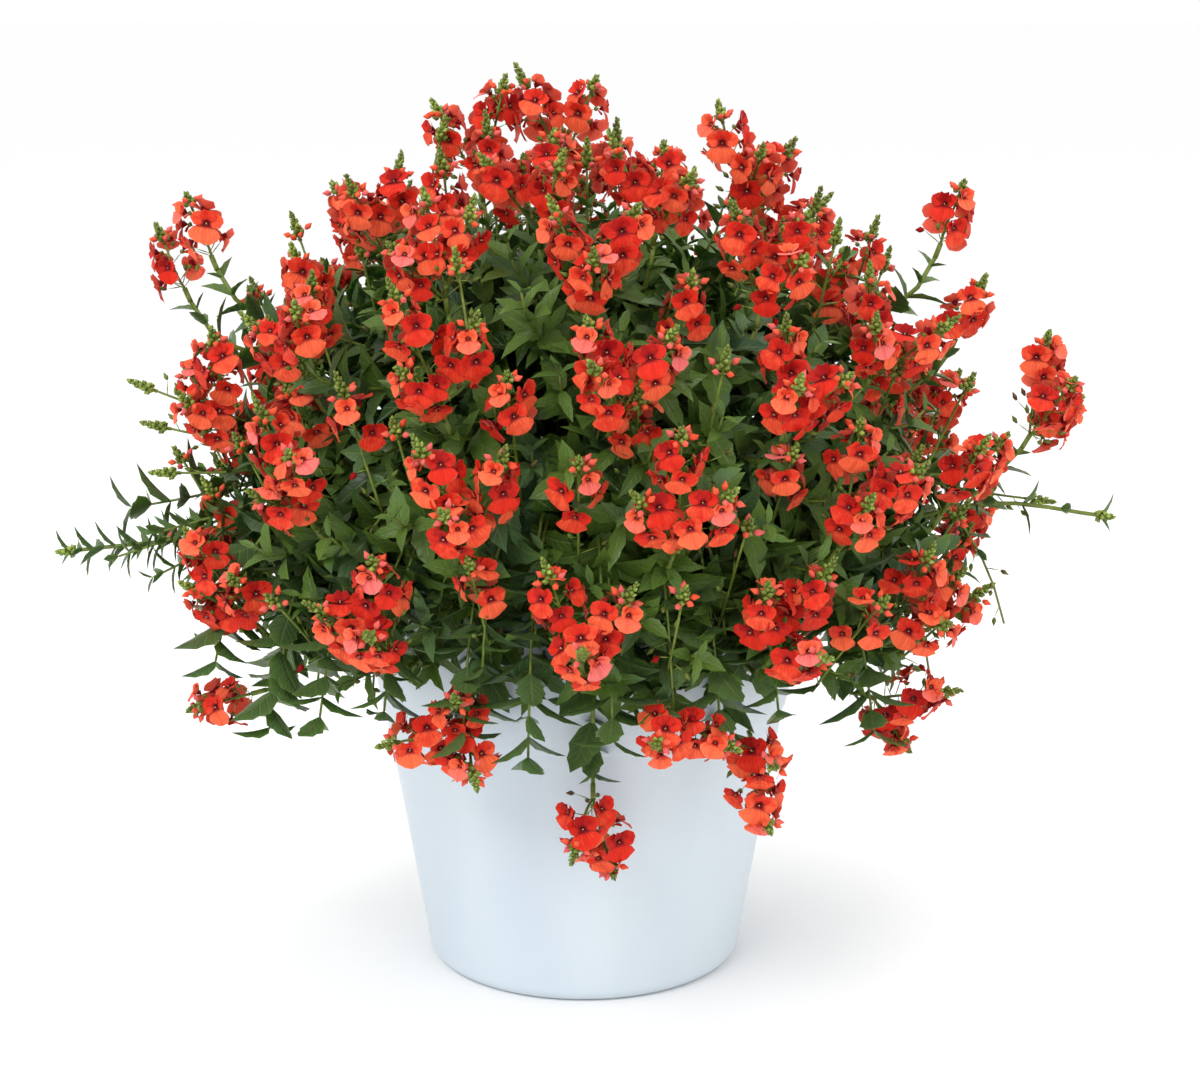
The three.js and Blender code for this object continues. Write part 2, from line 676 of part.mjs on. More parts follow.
// The trunk stems rise upright out of the soil into the core.
function addTrunks(bush, holes) {
  for (let i = 0; i < TRUNK_COUNT; i += 1) {
    const ring = i === 0 ? 0 : TRUNK_RING;
    const way = direction((i * 360) / (TRUNK_COUNT - 1) + TRUNK_TURN, 90);
    const foot = way.multiplyScalar(ring).setZ(SOIL_EDGE - ROOT_DEPTH);
    const top = foot.clone().setZ(CORE_MIDDLE.z - CORE_UNDER / 2);
    const line = new THREE.LineCurve3(foot, top);
    bush.add(stemAlong(line, TRUNK_RADIUS, 4, 1));
    holes.push(uprightHole(line, TRUNK_RADIUS, 4));
  }
}

// A stem from inside the core to a bunch's seat.
function bushStem(bush, plan) {
  const seat = plan.fork.clone().addScaledVector(plan.axis, -PEDUNCLE_LENGTH - SEAT_GAP);
  const way = seat.clone().sub(CORE_MIDDLE).normalize();
  way.setZ(Math.max(way.z, CORE_LOWEST_STEM)).normalize();
  const start = corePoint(way, CORE_STEM_START);
  const aside = new THREE.Vector3().crossVectors(way, UP);
  if (aside.lengthSq() < 0.01) aside.set(1, 0, 0);
  aside.normalize();
  return clearStem(
    bush,
    (bend) => {
      const knee = start.clone().lerp(seat, STEM_KNEE).addScaledVector(aside, bend);
      const rise = seat.clone().addScaledVector(plan.axis, -STEM_RISE * start.distanceTo(seat));
      return new THREE.CubicBezierCurve3(start, knee, rise, seat);
    },
    STEM_RADIUS, 3, 3,
  );
}

// Leaves that stand out of every few facets of the core at a slant. Those of its lower edge hang.
function addCoreLeaves(bush, facets, random) {
  const tries = [0, 25, -25, 50, -50].flatMap((turn) => [0, -30, 25].map((lift) => [0, lift, turn]));
  facets.forEach(({ middle, normal }, i) => {
    if (i % CORE_LEAF_STRIDE !== 0 || normal.z < -0.8) return;
    const side = new THREE.Vector3().crossVectors(UP, normal).normalize();
    const along = normal.clone()
      .addScaledVector(side, CORE_LEAF_SLANT.aside * (random() - 0.5))
      .addScaledVector(UP, middle.z > CORE_MIDDLE.z ? CORE_LEAF_SLANT.upwards : -CORE_LEAF_SLANT.downwards)
      .normalize();
    side.crossVectors(UP, along).normalize();
    const face = new THREE.Vector3().crossVectors(along, side);
    const root = middle.clone().addScaledVector(normal, -CORE_LEAF_ROOT);
    const place = new THREE.Matrix4().makeBasis(along, side, face).setPosition(root);
    const length = CORE_LEAF.shortest + CORE_LEAF.range * random();
    const blade = leaf({ length, halfWidth: CORE_LEAF.slender * length, rise: 0, droop: CORE_LEAF.droop });
    addBlade(bush, blade, place, tries);
  });
}

// Trailing stems

// A stem that rises out of the soil beside the wall, crosses the rim and goes on through the last points.
function overRimCurve(turn, bend, last) {
  const way = direction(turn, 90);
  const over = direction(turn + bend, 90);
  const foot = way.clone().multiplyScalar(STEM_ROOT_RING).setZ(SOIL_EDGE - ROOT_DEPTH);
  const collar = foot.clone().setZ(SOIL_CROWN + 1);
  const shoulder = way.clone().multiplyScalar(RIM_SHOULDER.ring).setZ(POT_HEIGHT + RIM_SHOULDER.above);
  const crest = over.clone().multiplyScalar(RIM_CREST.ring).setZ(POT_HEIGHT + RIM_CREST.above);
  return { foot, collar, curve: new THREE.CatmullRomCurve3([collar, shoulder, crest, ...last]) };
}

function addTrailingStem(growth, turn, last, holes, steps) {
  const first = overRimCurve(turn, 0, last);
  const straight = new THREE.LineCurve3(first.foot, first.collar.clone().setZ(first.collar.z + 1));
  growth.add(stemAlong(straight, STEM_RADIUS, 4, 1));
  holes.push(uprightHole(straight, STEM_RADIUS, 4));
  return clearStem(growth, (bend) => overRimCurve(turn, bend * BEND_TURN, last).curve, STEM_RADIUS, 3, steps);
}

// The whole plant

const holes = [];
const pot = grow('pot', COLOURS.pot);
pot.add(buildPot());

const bunchPlans = BUNCHES.map((row, i) => bunchPlan(row, 11 + i));
const trailingPlans = TRAILING.map((row, i) => bunchPlan(row, 211 + i));
bunchPlans.forEach((plan, i) => buildBunch(`flower_bunch_${String(i + 1).padStart(2, '0')}`, plan));
trailingPlans.forEach((plan, i) => buildBunch(`trailing_bunch_${i + 1}`, plan));

const bush = grow('leafy_bush', COLOURS.leaf);
const random = randomFrom(5);
const core = buildCore(random);
bush.add(core.solid);
addTrunks(bush, holes);
const bushCurves = bunchPlans.map((plan) => bushStem(bush, plan));

trailingPlans.forEach((plan, i) => {
  const growth = grow(`trailing_stem_${i + 1}`, COLOURS.leaf);
  const seat = plan.fork.clone().addScaledVector(plan.axis, -PEDUNCLE_LENGTH - SEAT_GAP);
  const near = seat.clone().addScaledVector(plan.axis, -HANG.straight);
  const above = near.clone().addScaledVector(plan.axis, -HANG.back).addScaledVector(UP, HANG.above);
  const turn = THREE.MathUtils.radToDeg(Math.atan2(plan.middle.y, plan.middle.x));
  const curve = addTrailingStem(growth, turn, [above, near, seat], holes, HANG.steps);
  addLeafPairs(growth, curve, HANG.pairs, TRAILING_LEAF, random);
});

BUD_STEMS.forEach(({ name, tip, pairs }) => {
  const growth = grow(name, COLOURS.leaf);
  const end = new THREE.Vector3(...tip);
  const turn = THREE.MathUtils.radToDeg(Math.atan2(end.y, end.x));
  const half = end.clone().multiplyScalar(BUD_STEM.bend).setZ(end.z + BUD_STEM.rise);
  const curve = addTrailingStem(growth, turn, [half, end], holes, BUD_STEM.steps);
  const shares = Array.from({ length: pairs }, (_, i) => BUD_STEM.firstPair - i * BUD_STEM.spacing);
  addLeafPairs(growth, curve, shares, BUD_STEM_LEAF, random);
});

addCoreLeaves(bush, core.facets, random);
bushCurves.forEach((curve, i) => {
  if (i % LEAFY_STEM_STRIDE === 0) addLeafPairs(bush, curve, [BUSH_PAIR_AT], BUSH_LEAF, random);
});

const model = new THREE.Group();
growths.forEach((growth) => {
  if (growth === pot) model.add(meshOf('pot', pot.pieces[0].solid, COLOURS.pot, 0.35));
  else model.add(growth.mesh());
});
model.add(meshOf('soil', buildSoil(holes), COLOURS.soil, 0.95));

export default model;
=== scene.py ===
"""Potted twinspur: a pale growing pot, its soil, a leafy bush and racemes of small coral flowers.

Sizes are in millimetres, +Z up, and become metres where a piece is finished. The front is -Y.
"""
import logging
import math
import random
from collections.abc import Callable, Sequence
from dataclasses import dataclass
from enum import Enum

import bmesh
import bpy
from mathutils import Matrix, Vector, noise


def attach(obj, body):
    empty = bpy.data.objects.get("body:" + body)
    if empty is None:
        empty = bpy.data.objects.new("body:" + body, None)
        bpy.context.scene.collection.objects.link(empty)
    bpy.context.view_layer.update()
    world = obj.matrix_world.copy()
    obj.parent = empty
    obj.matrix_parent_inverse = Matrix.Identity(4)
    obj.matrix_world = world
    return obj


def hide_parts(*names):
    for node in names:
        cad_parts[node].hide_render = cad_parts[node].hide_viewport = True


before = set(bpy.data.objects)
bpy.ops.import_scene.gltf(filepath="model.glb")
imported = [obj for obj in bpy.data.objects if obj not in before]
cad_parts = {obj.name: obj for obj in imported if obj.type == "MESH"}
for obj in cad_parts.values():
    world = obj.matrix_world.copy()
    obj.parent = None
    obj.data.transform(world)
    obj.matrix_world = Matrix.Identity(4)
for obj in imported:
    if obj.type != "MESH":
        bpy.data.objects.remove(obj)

LOG = logging.getLogger("twinspur")
MM = 0.001
UP = Vector((0, 0, 1))
GOLDEN_ANGLE = 137.508
BODY = "root"

# The mound that the flowers stand on, as the part has it
CROWN = Vector((0, 0, 222))
MOUND_DEPTH = 0.86
CORE_MIDDLE = Vector((0, 0, 308))
CORE_RADIUS = Vector((168, 132, 78))
CORE_UNDER = 60
MOUND_REACH = 240

HEAD_SPACING = 34
HEAD_ANGLE_SCATTER = 0.3
HEAD_NARROWEST = 0.9
HEAD_SPREAD = 0.25
HEAD_RISE = 16
FORK_DEPTH = 38
SHORT_FORK_DEPTH = 26
PEDUNCLE_LENGTH = 8
BUD_FOOT = 0.5
BUD_TIP = 0.16
BUD_BELLY = 0.42
BUD_ON_CHART = 0.8
SPUR_ON_CHART = 0.5
STALK_LEAN_STEPS = ((0, 0), (80, 36), (90, 55), (100, 88), (122, 158), (180, 170))
# Where the runs of draws start: the part's own for its heads, and the scene's own for the finer growth
FIRST_BUNCH_SEED = 11
FIRST_TRAILING_SEED = 211
FIRST_FLOWER_SEED = 1000
FIRST_TRAILING_FLOWER_SEED = 2000
FIRST_TRAILING_STEM_SEED = 3000
BUD_STEM_SEED = 4000

# Flower bunches: turn from +X seen from above and lean from upright in degrees, reach from the crown, heads
BUNCHES = (
    (145, 3, 283, 2), (172, 13, 277, 2), (-10, 21, 274, 3), (-61, 19, 266, 3), (-108, 18, 264, 3),
    (-162, 28, 266, 3), (-122, 34, 263, 3), (-87, 34, 263, 3), (-50, 37, 263, 3), (-176, 45, 310, 1),
    (174, 51, 312, 1), (-144, 49, 260, 3), (-113, 50, 260, 3), (-84, 51, 259, 3), (-57, 54, 259, 3),
    (-31, 49, 260, 3), (-3, 43, 309, 1), (1, 53, 281, 1), (-7, 65, 302, 3), (-168, 60, 256, 3),
    (-133, 66, 252, 3), (-105, 67, 252, 3), (-77, 67, 252, 3), (-49, 68, 250, 3), (-22, 69, 250, 2),
    (-148, 83, 237, 3), (-118, 82, 240, 3), (-90, 82, 239, 3), (-62, 83, 239, 3), (-36, 84, 236, 3),
    (95, 22, 266, 3), (42, 36, 264, 3), (142, 38, 264, 3), (92, 50, 260, 3), (30, 66, 252, 3),
    (68, 67, 252, 3), (113, 67, 252, 3), (150, 66, 254, 3), (48, 86, 236, 3), (132, 86, 236, 3),
)
TRAILING = (
    (-110, 101, 216, 3), (-75, 98, 222, 2), (-60, 110, 210, 2), (-27, 104, 216, 2), (-88, 121, 206, 2),
    (-163, 104, 230, 1), (90, 99, 226, 2),
)

# Bud stems: name, tip, the share of the stem where its leaves start, and how far apart its leaf pairs are
BUD_STEMS = (
    ("bud_stem_left", (-302, -22, 248), 0.35, 6.5),
    ("bud_stem_right", (300, -38, 272), 0.45, 24),
)


def part_draw(seed: int) -> Callable[[], float]:
    """Makes the same run of numbers from 0 to 1 that placed the part's own bunches.

    Args:
        seed: The number that the run starts from.

    Returns:
        A function that gives the next number.
    """
    whole = 0xFFFFFFFF
    state = seed

    def draw() -> float:
        """The next number of the run.

        Returns:
            The number.
        """
        nonlocal state
        state = (state + 0x6D2B79F5) & whole
        mixed = ((state ^ (state >> 15)) * (1 | state)) & whole
        mixed = ((mixed + (mixed ^ (mixed >> 7)) * (61 | mixed)) & whole) ^ mixed
        return ((mixed ^ (mixed >> 14)) & whole) / (whole + 1)

    return draw


def direction(turn: float, lean: float) -> Vector:
    """The direction that turns from +X about the upright and leans from it, both in degrees.

    Args:
        turn: Degrees from +X, seen from above.
        lean: Degrees from upright.

    Returns:
        The direction, of length 1.
    """
    flat = math.sin(math.radians(lean))
    return Vector((
        flat * math.cos(math.radians(turn)),
        flat * math.sin(math.radians(turn)),
        math.cos(math.radians(lean)),
    ))


def mound_point(turn: float, lean: float, reach: float) -> Vector:
    """The point of the mound in that direction, which is shallower from front to back.

    Args:
        turn: Degrees from +X, seen from above.
        lean: Degrees from upright.
        reach: The distance from the crown.

    Returns:
        The point.
    """
    point = direction(turn, lean) * reach
    point.y *= MOUND_DEPTH
    return point + CROWN


def core_point(way: Vector, share: float) -> Vector:
    """The point at a share of the bush's dense core in one direction.

    Args:
        way: The direction from the core's middle.
        share: The share of the way to the core's surface.

    Returns:
        The point.
    """
    under = CORE_UNDER if way.z < 0 else CORE_RADIUS.z
    stretched = Vector((way.x / CORE_RADIUS.x, way.y / CORE_RADIUS.y, way.z / under)).length
    return CORE_MIDDLE + way * (share / stretched)


def stepped(steps: Sequence[tuple[float, float]], at: float) -> float:
    """Reads a value between the steps of a short table.

    Args:
        steps: Pairs of a position and its value, in order.
        at: The position to read.

    Returns:
        The value there, by straight lines between the steps.
    """
    if at <= steps[0][0]:
        return steps[0][1]
    for (low, first), (high, last) in zip(steps, steps[1:]):
        if at <= high:
            return first + (last - first) * (at - low) / (high - low)
    return steps[-1][1]


def place_of(x: Vector, y: Vector, z: Vector, point: Vector) -> Matrix:
    """The place with three directions as its own axes and a point as its origin."""
    return Matrix.Translation(point) @ Matrix((x, y, z)).transposed().to_4x4()


def basis(forward: Vector, upward: Vector, point: Vector) -> Matrix:
    """Makes a place with local +Z along forward and local +Y as near as possible to upward.

    Args:
        forward: The direction of local +Z.
        upward: The direction that local +Y leans to.
        point: The place's origin.

    Returns:
        The place as a matrix.
    """
    z = forward.normalized()
    x = upward.cross(z)
    if x.length < 0.01:
        x = Vector((0.3, 1, 0.1)).cross(z)
    x.normalize()
    y = z.cross(x)
    return place_of(x, y, z, point)


def bezier(a: Vector, b: Vector, c: Vector, d: Vector, steps: int) -> list[Vector]:
    """The points of a cubic curve from a to d that leaves along b and arrives along c.

    Args:
        a: Its start.
        b: The handle of its start.
        c: The handle of its end.
        d: Its end.
        steps: How many straight steps it has.

    Returns:
        Its points.
    """
    points = []
    for i in range(steps + 1):
        t = i / steps
        s = 1 - t
        points.append(a * s**3 + b * (3 * s * s * t) + c * (3 * s * t * t) + d * t**3)
    return points


def through(knots: Sequence[Vector], steps: int) -> list[Vector]:
    """The points of a smooth curve through all the knots, with some steps between each two.

    Args:
        knots: The knots.
        steps: How many straight steps lie between two knots.

    Returns:
        Its points.
    """
    padded = [knots[0] * 2 - knots[1], *knots, knots[-1] * 2 - knots[-2]]
    points = [knots[0].copy()]
    for before, a, b, after in zip(padded, padded[1:], padded[2:], padded[3:]):
        handle_a = a + (b - before) / 6
        handle_b = b - (after - a) / 6
        points += bezier(a, handle_a, handle_b, b, steps)[1:]
    return points


def along(points: Sequence[Vector], share: float) -> tuple[Vector, Vector]:
    """Reads a place on a line of points.

    Args:
        points: The points of the line.
        share: The share of its length, from 0 to 1.

    Returns:
        The point there and the direction of the line.
    """
    lengths = [(b - a).length for a, b in zip(points, points[1:])]
    left = share * sum(lengths)
    for a, b, length in zip(points, points[1:], lengths):
        if left <= length:
            return a.lerp(b, left / length), (b - a).normalized()
        left -= length
    return points[-1].copy(), (points[-1] - points[-2]).normalized()


@dataclass(frozen=True)
class Head:
    """The middle of one flower head and the direction of its stalk."""

    point: Vector
    axis: Vector

    @property
    def outward(self) -> Vector:
        """The level direction away from the pot's axis."""
        return Vector((self.point.x, self.point.y / MOUND_DEPTH, 0)) / MOUND_REACH


@dataclass(frozen=True)
class Bunch:
    """One bunch of heads on a fork, in the part's own places."""

    axis: Vector
    fork: Vector
    heads: tuple[Head, ...]

    @classmethod
    def from_row(cls, row: tuple[float, float, float, int], seed: int) -> "Bunch":
        """Works a bunch out from its row, as the part does.

        Args:
            row: Turn, lean, reach and number of heads.
            seed: The seed of its draws.

        Returns:
            The bunch.
        """
        turn, lean, reach, count = row
        draw = part_draw(seed)
        middle = mound_point(turn, lean, reach)
        outward = direction(turn, lean)
        axis = direction(turn, stepped(STALK_LEAN_STEPS, lean))
        across = UP.cross(outward)
        if across.length_squared < 0.01:
            across = Vector((1, 0, 0))
        across.normalize()
        beside = outward.cross(across)
        ring = HEAD_SPACING / (2 * math.sin(math.pi / count)) if count > 1 else 0
        start = draw() * 2 * math.pi
        depth = SHORT_FORK_DEPTH if count == 1 or lean > 90 else FORK_DEPTH
        fork = middle - axis * depth
        heads = []
        for i in range(count):
            angle = start + (i + HEAD_ANGLE_SCATTER * (draw() - 0.5)) / count * 2 * math.pi
            wide = ring * (HEAD_NARROWEST + HEAD_SPREAD * draw())
            rise = HEAD_RISE * (draw() - 0.5) if count > 1 else 0
            point = middle + across * (wide * math.cos(angle)) + beside * (wide * math.sin(angle))
            point += outward * rise
            # The part turns its own head by one draw more
            draw()
            heads.append(Head(point, (point - fork).normalized()))
        return cls(axis, fork, tuple(heads))

    @property
    def seat(self) -> Vector:
        """The foot of the bunch, where its stem ends."""
        return self.fork - self.axis * PEDUNCLE_LENGTH


class Gathering:
    """Placed copies of small shapes, joined in one mesh."""

    def __init__(self) -> None:
        """Starts with nothing in it."""
        self.mesh = bmesh.new()

    def add(self, shape: bpy.types.Mesh, place: Matrix, tone: float) -> None:
        """Adds one copy of a shape.

        Args:
            shape: The shape, in millimetres.
            place: Where its copy goes, in millimetres.
            tone: What is added to the shape's own tone, from dark to light.
        """
        copy = shape.copy()
        copy.transform(place)
        tones = [0.0] * len(copy.vertices)
        copy.attributes["tone"].data.foreach_get("value", tones)
        copy.attributes["tone"].data.foreach_set("value", [own + tone for own in tones])
        self.mesh.from_mesh(copy)
        bpy.data.meshes.remove(copy)

    def add_between(self, shape: bpy.types.Mesh, foot: Vector, tip: Vector, tone: float) -> None:
        """Adds a copy of a shape of length 1 along +Z, stretched between two points.

        Args:
            shape: The shape.
            foot: Where it starts.
            tip: Where it ends.
            tone: What is added to its own tone.
        """
        way = tip - foot
        self.add(shape, basis(way, UP, foot) @ Matrix.Diagonal((1, 1, way.length, 1)), tone)

    def finish(
        self, name: str, slot: str, nodes: Sequence[str], finishes: Sequence[bpy.types.Material]
    ) -> bpy.types.Object:
        """Makes the piece out of what was added.

        Args:
            name: The piece's name.
            slot: The record's material slot, which is not used.
            nodes: The nodes of the part that it stands for.
            finishes: Its materials, in the order of the shapes' material numbers.

        Returns:
            The piece's object.
        """
        mesh = bpy.data.meshes.new(name)
        self.mesh.to_mesh(mesh)
        self.mesh.free()
        mesh.transform(Matrix.Scale(MM, 4))
        return carry(mesh, nodes, finishes)


def carry(
    mesh: bpy.types.Mesh, nodes: Sequence[str], finishes: Sequence[bpy.types.Material]
) -> bpy.types.Object:
    """Puts a mesh in the scene as a piece that rides with the part.

    Args:
        mesh: The piece's mesh, in metres, which names the piece.
        nodes: The nodes of the part that it stands for.
        finishes: Its materials.

    Returns:
        The piece's object.
    """
    piece = bpy.data.objects.new(mesh.name, mesh)
    bpy.context.scene.collection.objects.link(piece)
    for finish in finishes:
        mesh.materials.append(finish)
    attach(piece, BODY)
    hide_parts(*nodes)
    triangles = sum(len(face.vertices) - 2 for face in mesh.polygons)
    LOG.info("%s: %d triangles for %s", piece.name, triangles, ", ".join(nodes))
    return piece


def chart_at(mesh: bmesh.types.BMesh, faces: Sequence[bmesh.types.BMFace], height: float) -> None:
    """Lays faces on one height of the chart, which runs from the throat at 0 to the edge at 1.

    Args:
        mesh: The mesh that has the faces.
        faces: The faces.
        height: Their height on the chart.
    """
    chart = mesh.loops.layers.uv["UVMap"]
    for face in faces:
        for loop in face.loops:
            loop[chart].uv = (0.5, height)


def shape_from(mesh: bmesh.types.BMesh, name: str) -> bpy.types.Mesh:
    """Keeps a small mesh as a shape that can be copied, with smooth faces.

    Args:
        mesh: The mesh, which is freed.
        name: The shape's name.

    Returns:
        The shape.
    """
    for face in mesh.faces:
        face.smooth = True
    shape = bpy.data.meshes.new(name)
    mesh.to_mesh(shape)
    mesh.free()
    return shape


def new_mesh() -> bmesh.types.BMesh:
    """An empty mesh with the layers that the shapes share.

    Returns:
        The mesh.
    """
    mesh = bmesh.new()
    mesh.loops.layers.uv.new("UVMap")
    mesh.verts.layers.float.new("tone")
    mesh.faces.layers.float.new("back")
    return mesh


def thin_sheet(
    columns: int, rows: int, thickness: float, form: Callable[[float, float], Vector], tone: float = 0.0
) -> bmesh.types.BMesh:
    """Draws a thin closed sheet out of a grid, thickest in its middle.

    Args:
        columns: Squares across.
        rows: Squares along.
        thickness: The most thickness.
        form: Gives the place of each grid point from its share across and along.
        tone: The sheet's own tone.

    Returns:
        The sheet's mesh, its under side marked in the layer "back".
    """
    mesh = new_mesh()
    bmesh.ops.create_grid(mesh, x_segments=columns, y_segments=rows, size=0.5, calc_uvs=True)
    for vert in mesh.verts:
        vert.co = form(vert.co.x + 0.5, vert.co.y + 0.5)
    bmesh.ops.remove_doubles(mesh, verts=mesh.verts, dist=0.01)
    for edge in mesh.edges:
        edge.smooth = not edge.is_boundary
    mesh.normal_update()
    under = bmesh.ops.duplicate(mesh, geom=[*mesh.verts, *mesh.edges, *mesh.faces])["geom"]
    back = mesh.faces.layers.float["back"]
    for vert in (item for item in under if isinstance(item, bmesh.types.BMVert)):
        if not vert.is_boundary:
            vert.co -= vert.normal * thickness
    faces = [item for item in under if isinstance(item, bmesh.types.BMFace)]
    for face in faces:
        face[back] = 1.0
    bmesh.ops.reverse_faces(mesh, faces=faces)
    bmesh.ops.remove_doubles(mesh, verts=mesh.verts, dist=0.002)
    tones = mesh.verts.layers.float["tone"]
    for vert in mesh.verts:
        vert[tones] = tone
    return mesh


def stem_shape(points: Sequence[Vector], foot: float, tip: float, sides: int) -> bpy.types.Mesh:
    """Extrudes a closed stem along a line of points.

    Args:
        points: The line.
        foot: The radius at its first point.
        tip: The radius at its last point.
        sides: The number of its sides.

    Returns:
        The stem's shape, in the place of the points.
    """
    mesh = new_mesh()
    verts = bmesh.ops.create_circle(mesh, cap_ends=True, segments=sides, radius=1.0)["verts"]
    cap = next(iter(mesh.faces))
    upward = Vector((0.31, 0.17, 0.94))
    before = Matrix.Identity(4)
    for i, point in enumerate(points):
        ahead = points[min(i + 1, len(points) - 1)] - points[max(i - 1, 0)]
        radius = foot + (tip - foot) * i / (len(points) - 1)
        place = basis(ahead, upward, point)
        upward = place.col[1].to_3d()
        place = place @ Matrix.Diagonal((radius, radius, 1, 1))
        if i > 0:
            grown = bmesh.ops.extrude_face_region(mesh, geom=[cap])["geom"]
            verts = [item for item in grown if isinstance(item, bmesh.types.BMVert)]
            cap = next(item for item in grown if isinstance(item, bmesh.types.BMFace))
        bmesh.ops.transform(mesh, matrix=place @ before.inverted(), verts=verts)
        before = place
    bmesh.ops.recalc_face_normals(mesh, faces=mesh.faces)
    return shape_from(mesh, "stem")


def spun(outline: Sequence[Vector], steps: int) -> bmesh.types.BMesh:
    """Spins an outline that starts and ends on the upright axis into a closed form.

    Args:
        outline: The outline's points.
        steps: How many sides the form has.

    Returns:
        The form's mesh.
    """
    mesh = new_mesh()
    verts = [mesh.verts.new(point) for point in outline]
    edges = [mesh.edges.new(pair) for pair in zip(verts, verts[1:])]
    bmesh.ops.spin(
        mesh, geom=[*verts, *edges], cent=(0, 0, 0), axis=(0, 0, 1), angle=2 * math.pi, steps=steps,
        use_merge=True,
    )
    bmesh.ops.remove_doubles(mesh, verts=mesh.verts, dist=0.01)
    bmesh.ops.recalc_face_normals(mesh, faces=mesh.faces)
    return mesh


@dataclass(frozen=True)
class LeafForm:
    """A toothed leaf along +Y with its root at the origin and its face up."""

    length: float
    half_width: float
    widest: float
    tooth: float
    fold: float
    droop: float
    rows: int = 7
    neck: float = 0.07
    thickness: float = 0.35
    root_round: float = 0.8
    tip_round: float = 0.85
    tooth_sweep: float = 0.35
    fold_power: float = 1.3

    def place(self, across: float, up: float) -> Vector:
        """Places one point of the leaf from its shares across and along.

        Args:
            across: Its share across, from 0 to 1.
            up: Its share along, from 0 to 1.

        Returns:
            The point.
        """
        side = 2 * across - 1
        row = round(up * self.rows)
        if up < self.widest:
            wide = math.sin(up / self.widest * math.pi / 2) ** self.root_round
        else:
            wide = math.cos((up - self.widest) / (1 - self.widest) * math.pi / 2) ** self.tip_round
        tooth = 0.0
        if 0 < row < self.rows:
            tooth = self.tooth if row % 2 else -self.tooth
        wide = max(wide * (1 + tooth), self.neck * (1 - up))
        sweep = tooth * self.tooth_sweep * self.length / self.rows * abs(side)
        lift = self.fold * abs(side) ** self.fold_power * wide * self.half_width
        sag = self.droop * self.length * up * up
        return Vector((side * wide * self.half_width, up * self.length + sweep, lift - sag))

    def shape(self, name: str) -> bpy.types.Mesh:
        """The leaf's shape."""
        return shape_from(thin_sheet(2, self.rows, self.thickness, self.place), name)


@dataclass(frozen=True)
class PetalForm:
    """One lobe of a flower, drawn along +Y from the throat and then turned to its place."""

    length: float
    half_width: float
    columns: int
    rows: int
    turn: float
    tilt: float
    cup: float
    curl: float
    wave: float
    tone: float
    foot: float = 1.2
    base: float = 0.32
    thickness: float = 0.3
    widening: float = 1.35
    tip_narrowing: float = 0.16
    tip_round: float = 0.3
    ripples: float = 4.2

    def place(self, across: float, up: float) -> Vector:
        """Places one point of the lobe from its shares across and along.

        Args:
            across: Its share across, from 0 to 1.
            up: Its share along, from 0 to 1.

        Returns:
            The point.
        """
        side = 2 * across - 1
        wide = self.base + (1 - self.base) * math.sin(min(1.0, up * self.widening) * math.pi / 2)
        wide *= 1 - self.tip_narrowing * up**4
        reach = self.foot + self.length * up * (1 - self.tip_round * side * side * up)
        ripple = self.wave * math.sin(side * self.ripples + self.turn) * up * up
        return Vector((
            side * wide * self.half_width,
            reach,
            self.cup * side * side * wide + self.curl * up * up * self.length + ripple,
        ))

    def mesh(self) -> bmesh.types.BMesh:
        """The lobe's mesh, turned to its place in the flower.

        Returns:
            The mesh.
        """
        lobe = thin_sheet(self.columns, self.rows, self.thickness, self.place, self.tone)
        turned = Matrix.Rotation(math.radians(-self.turn), 4, "Z")
        tilted = Matrix.Rotation(math.radians(self.tilt), 4, "X")
        bmesh.ops.transform(lobe, matrix=turned @ tilted, verts=lobe.verts)
        return lobe


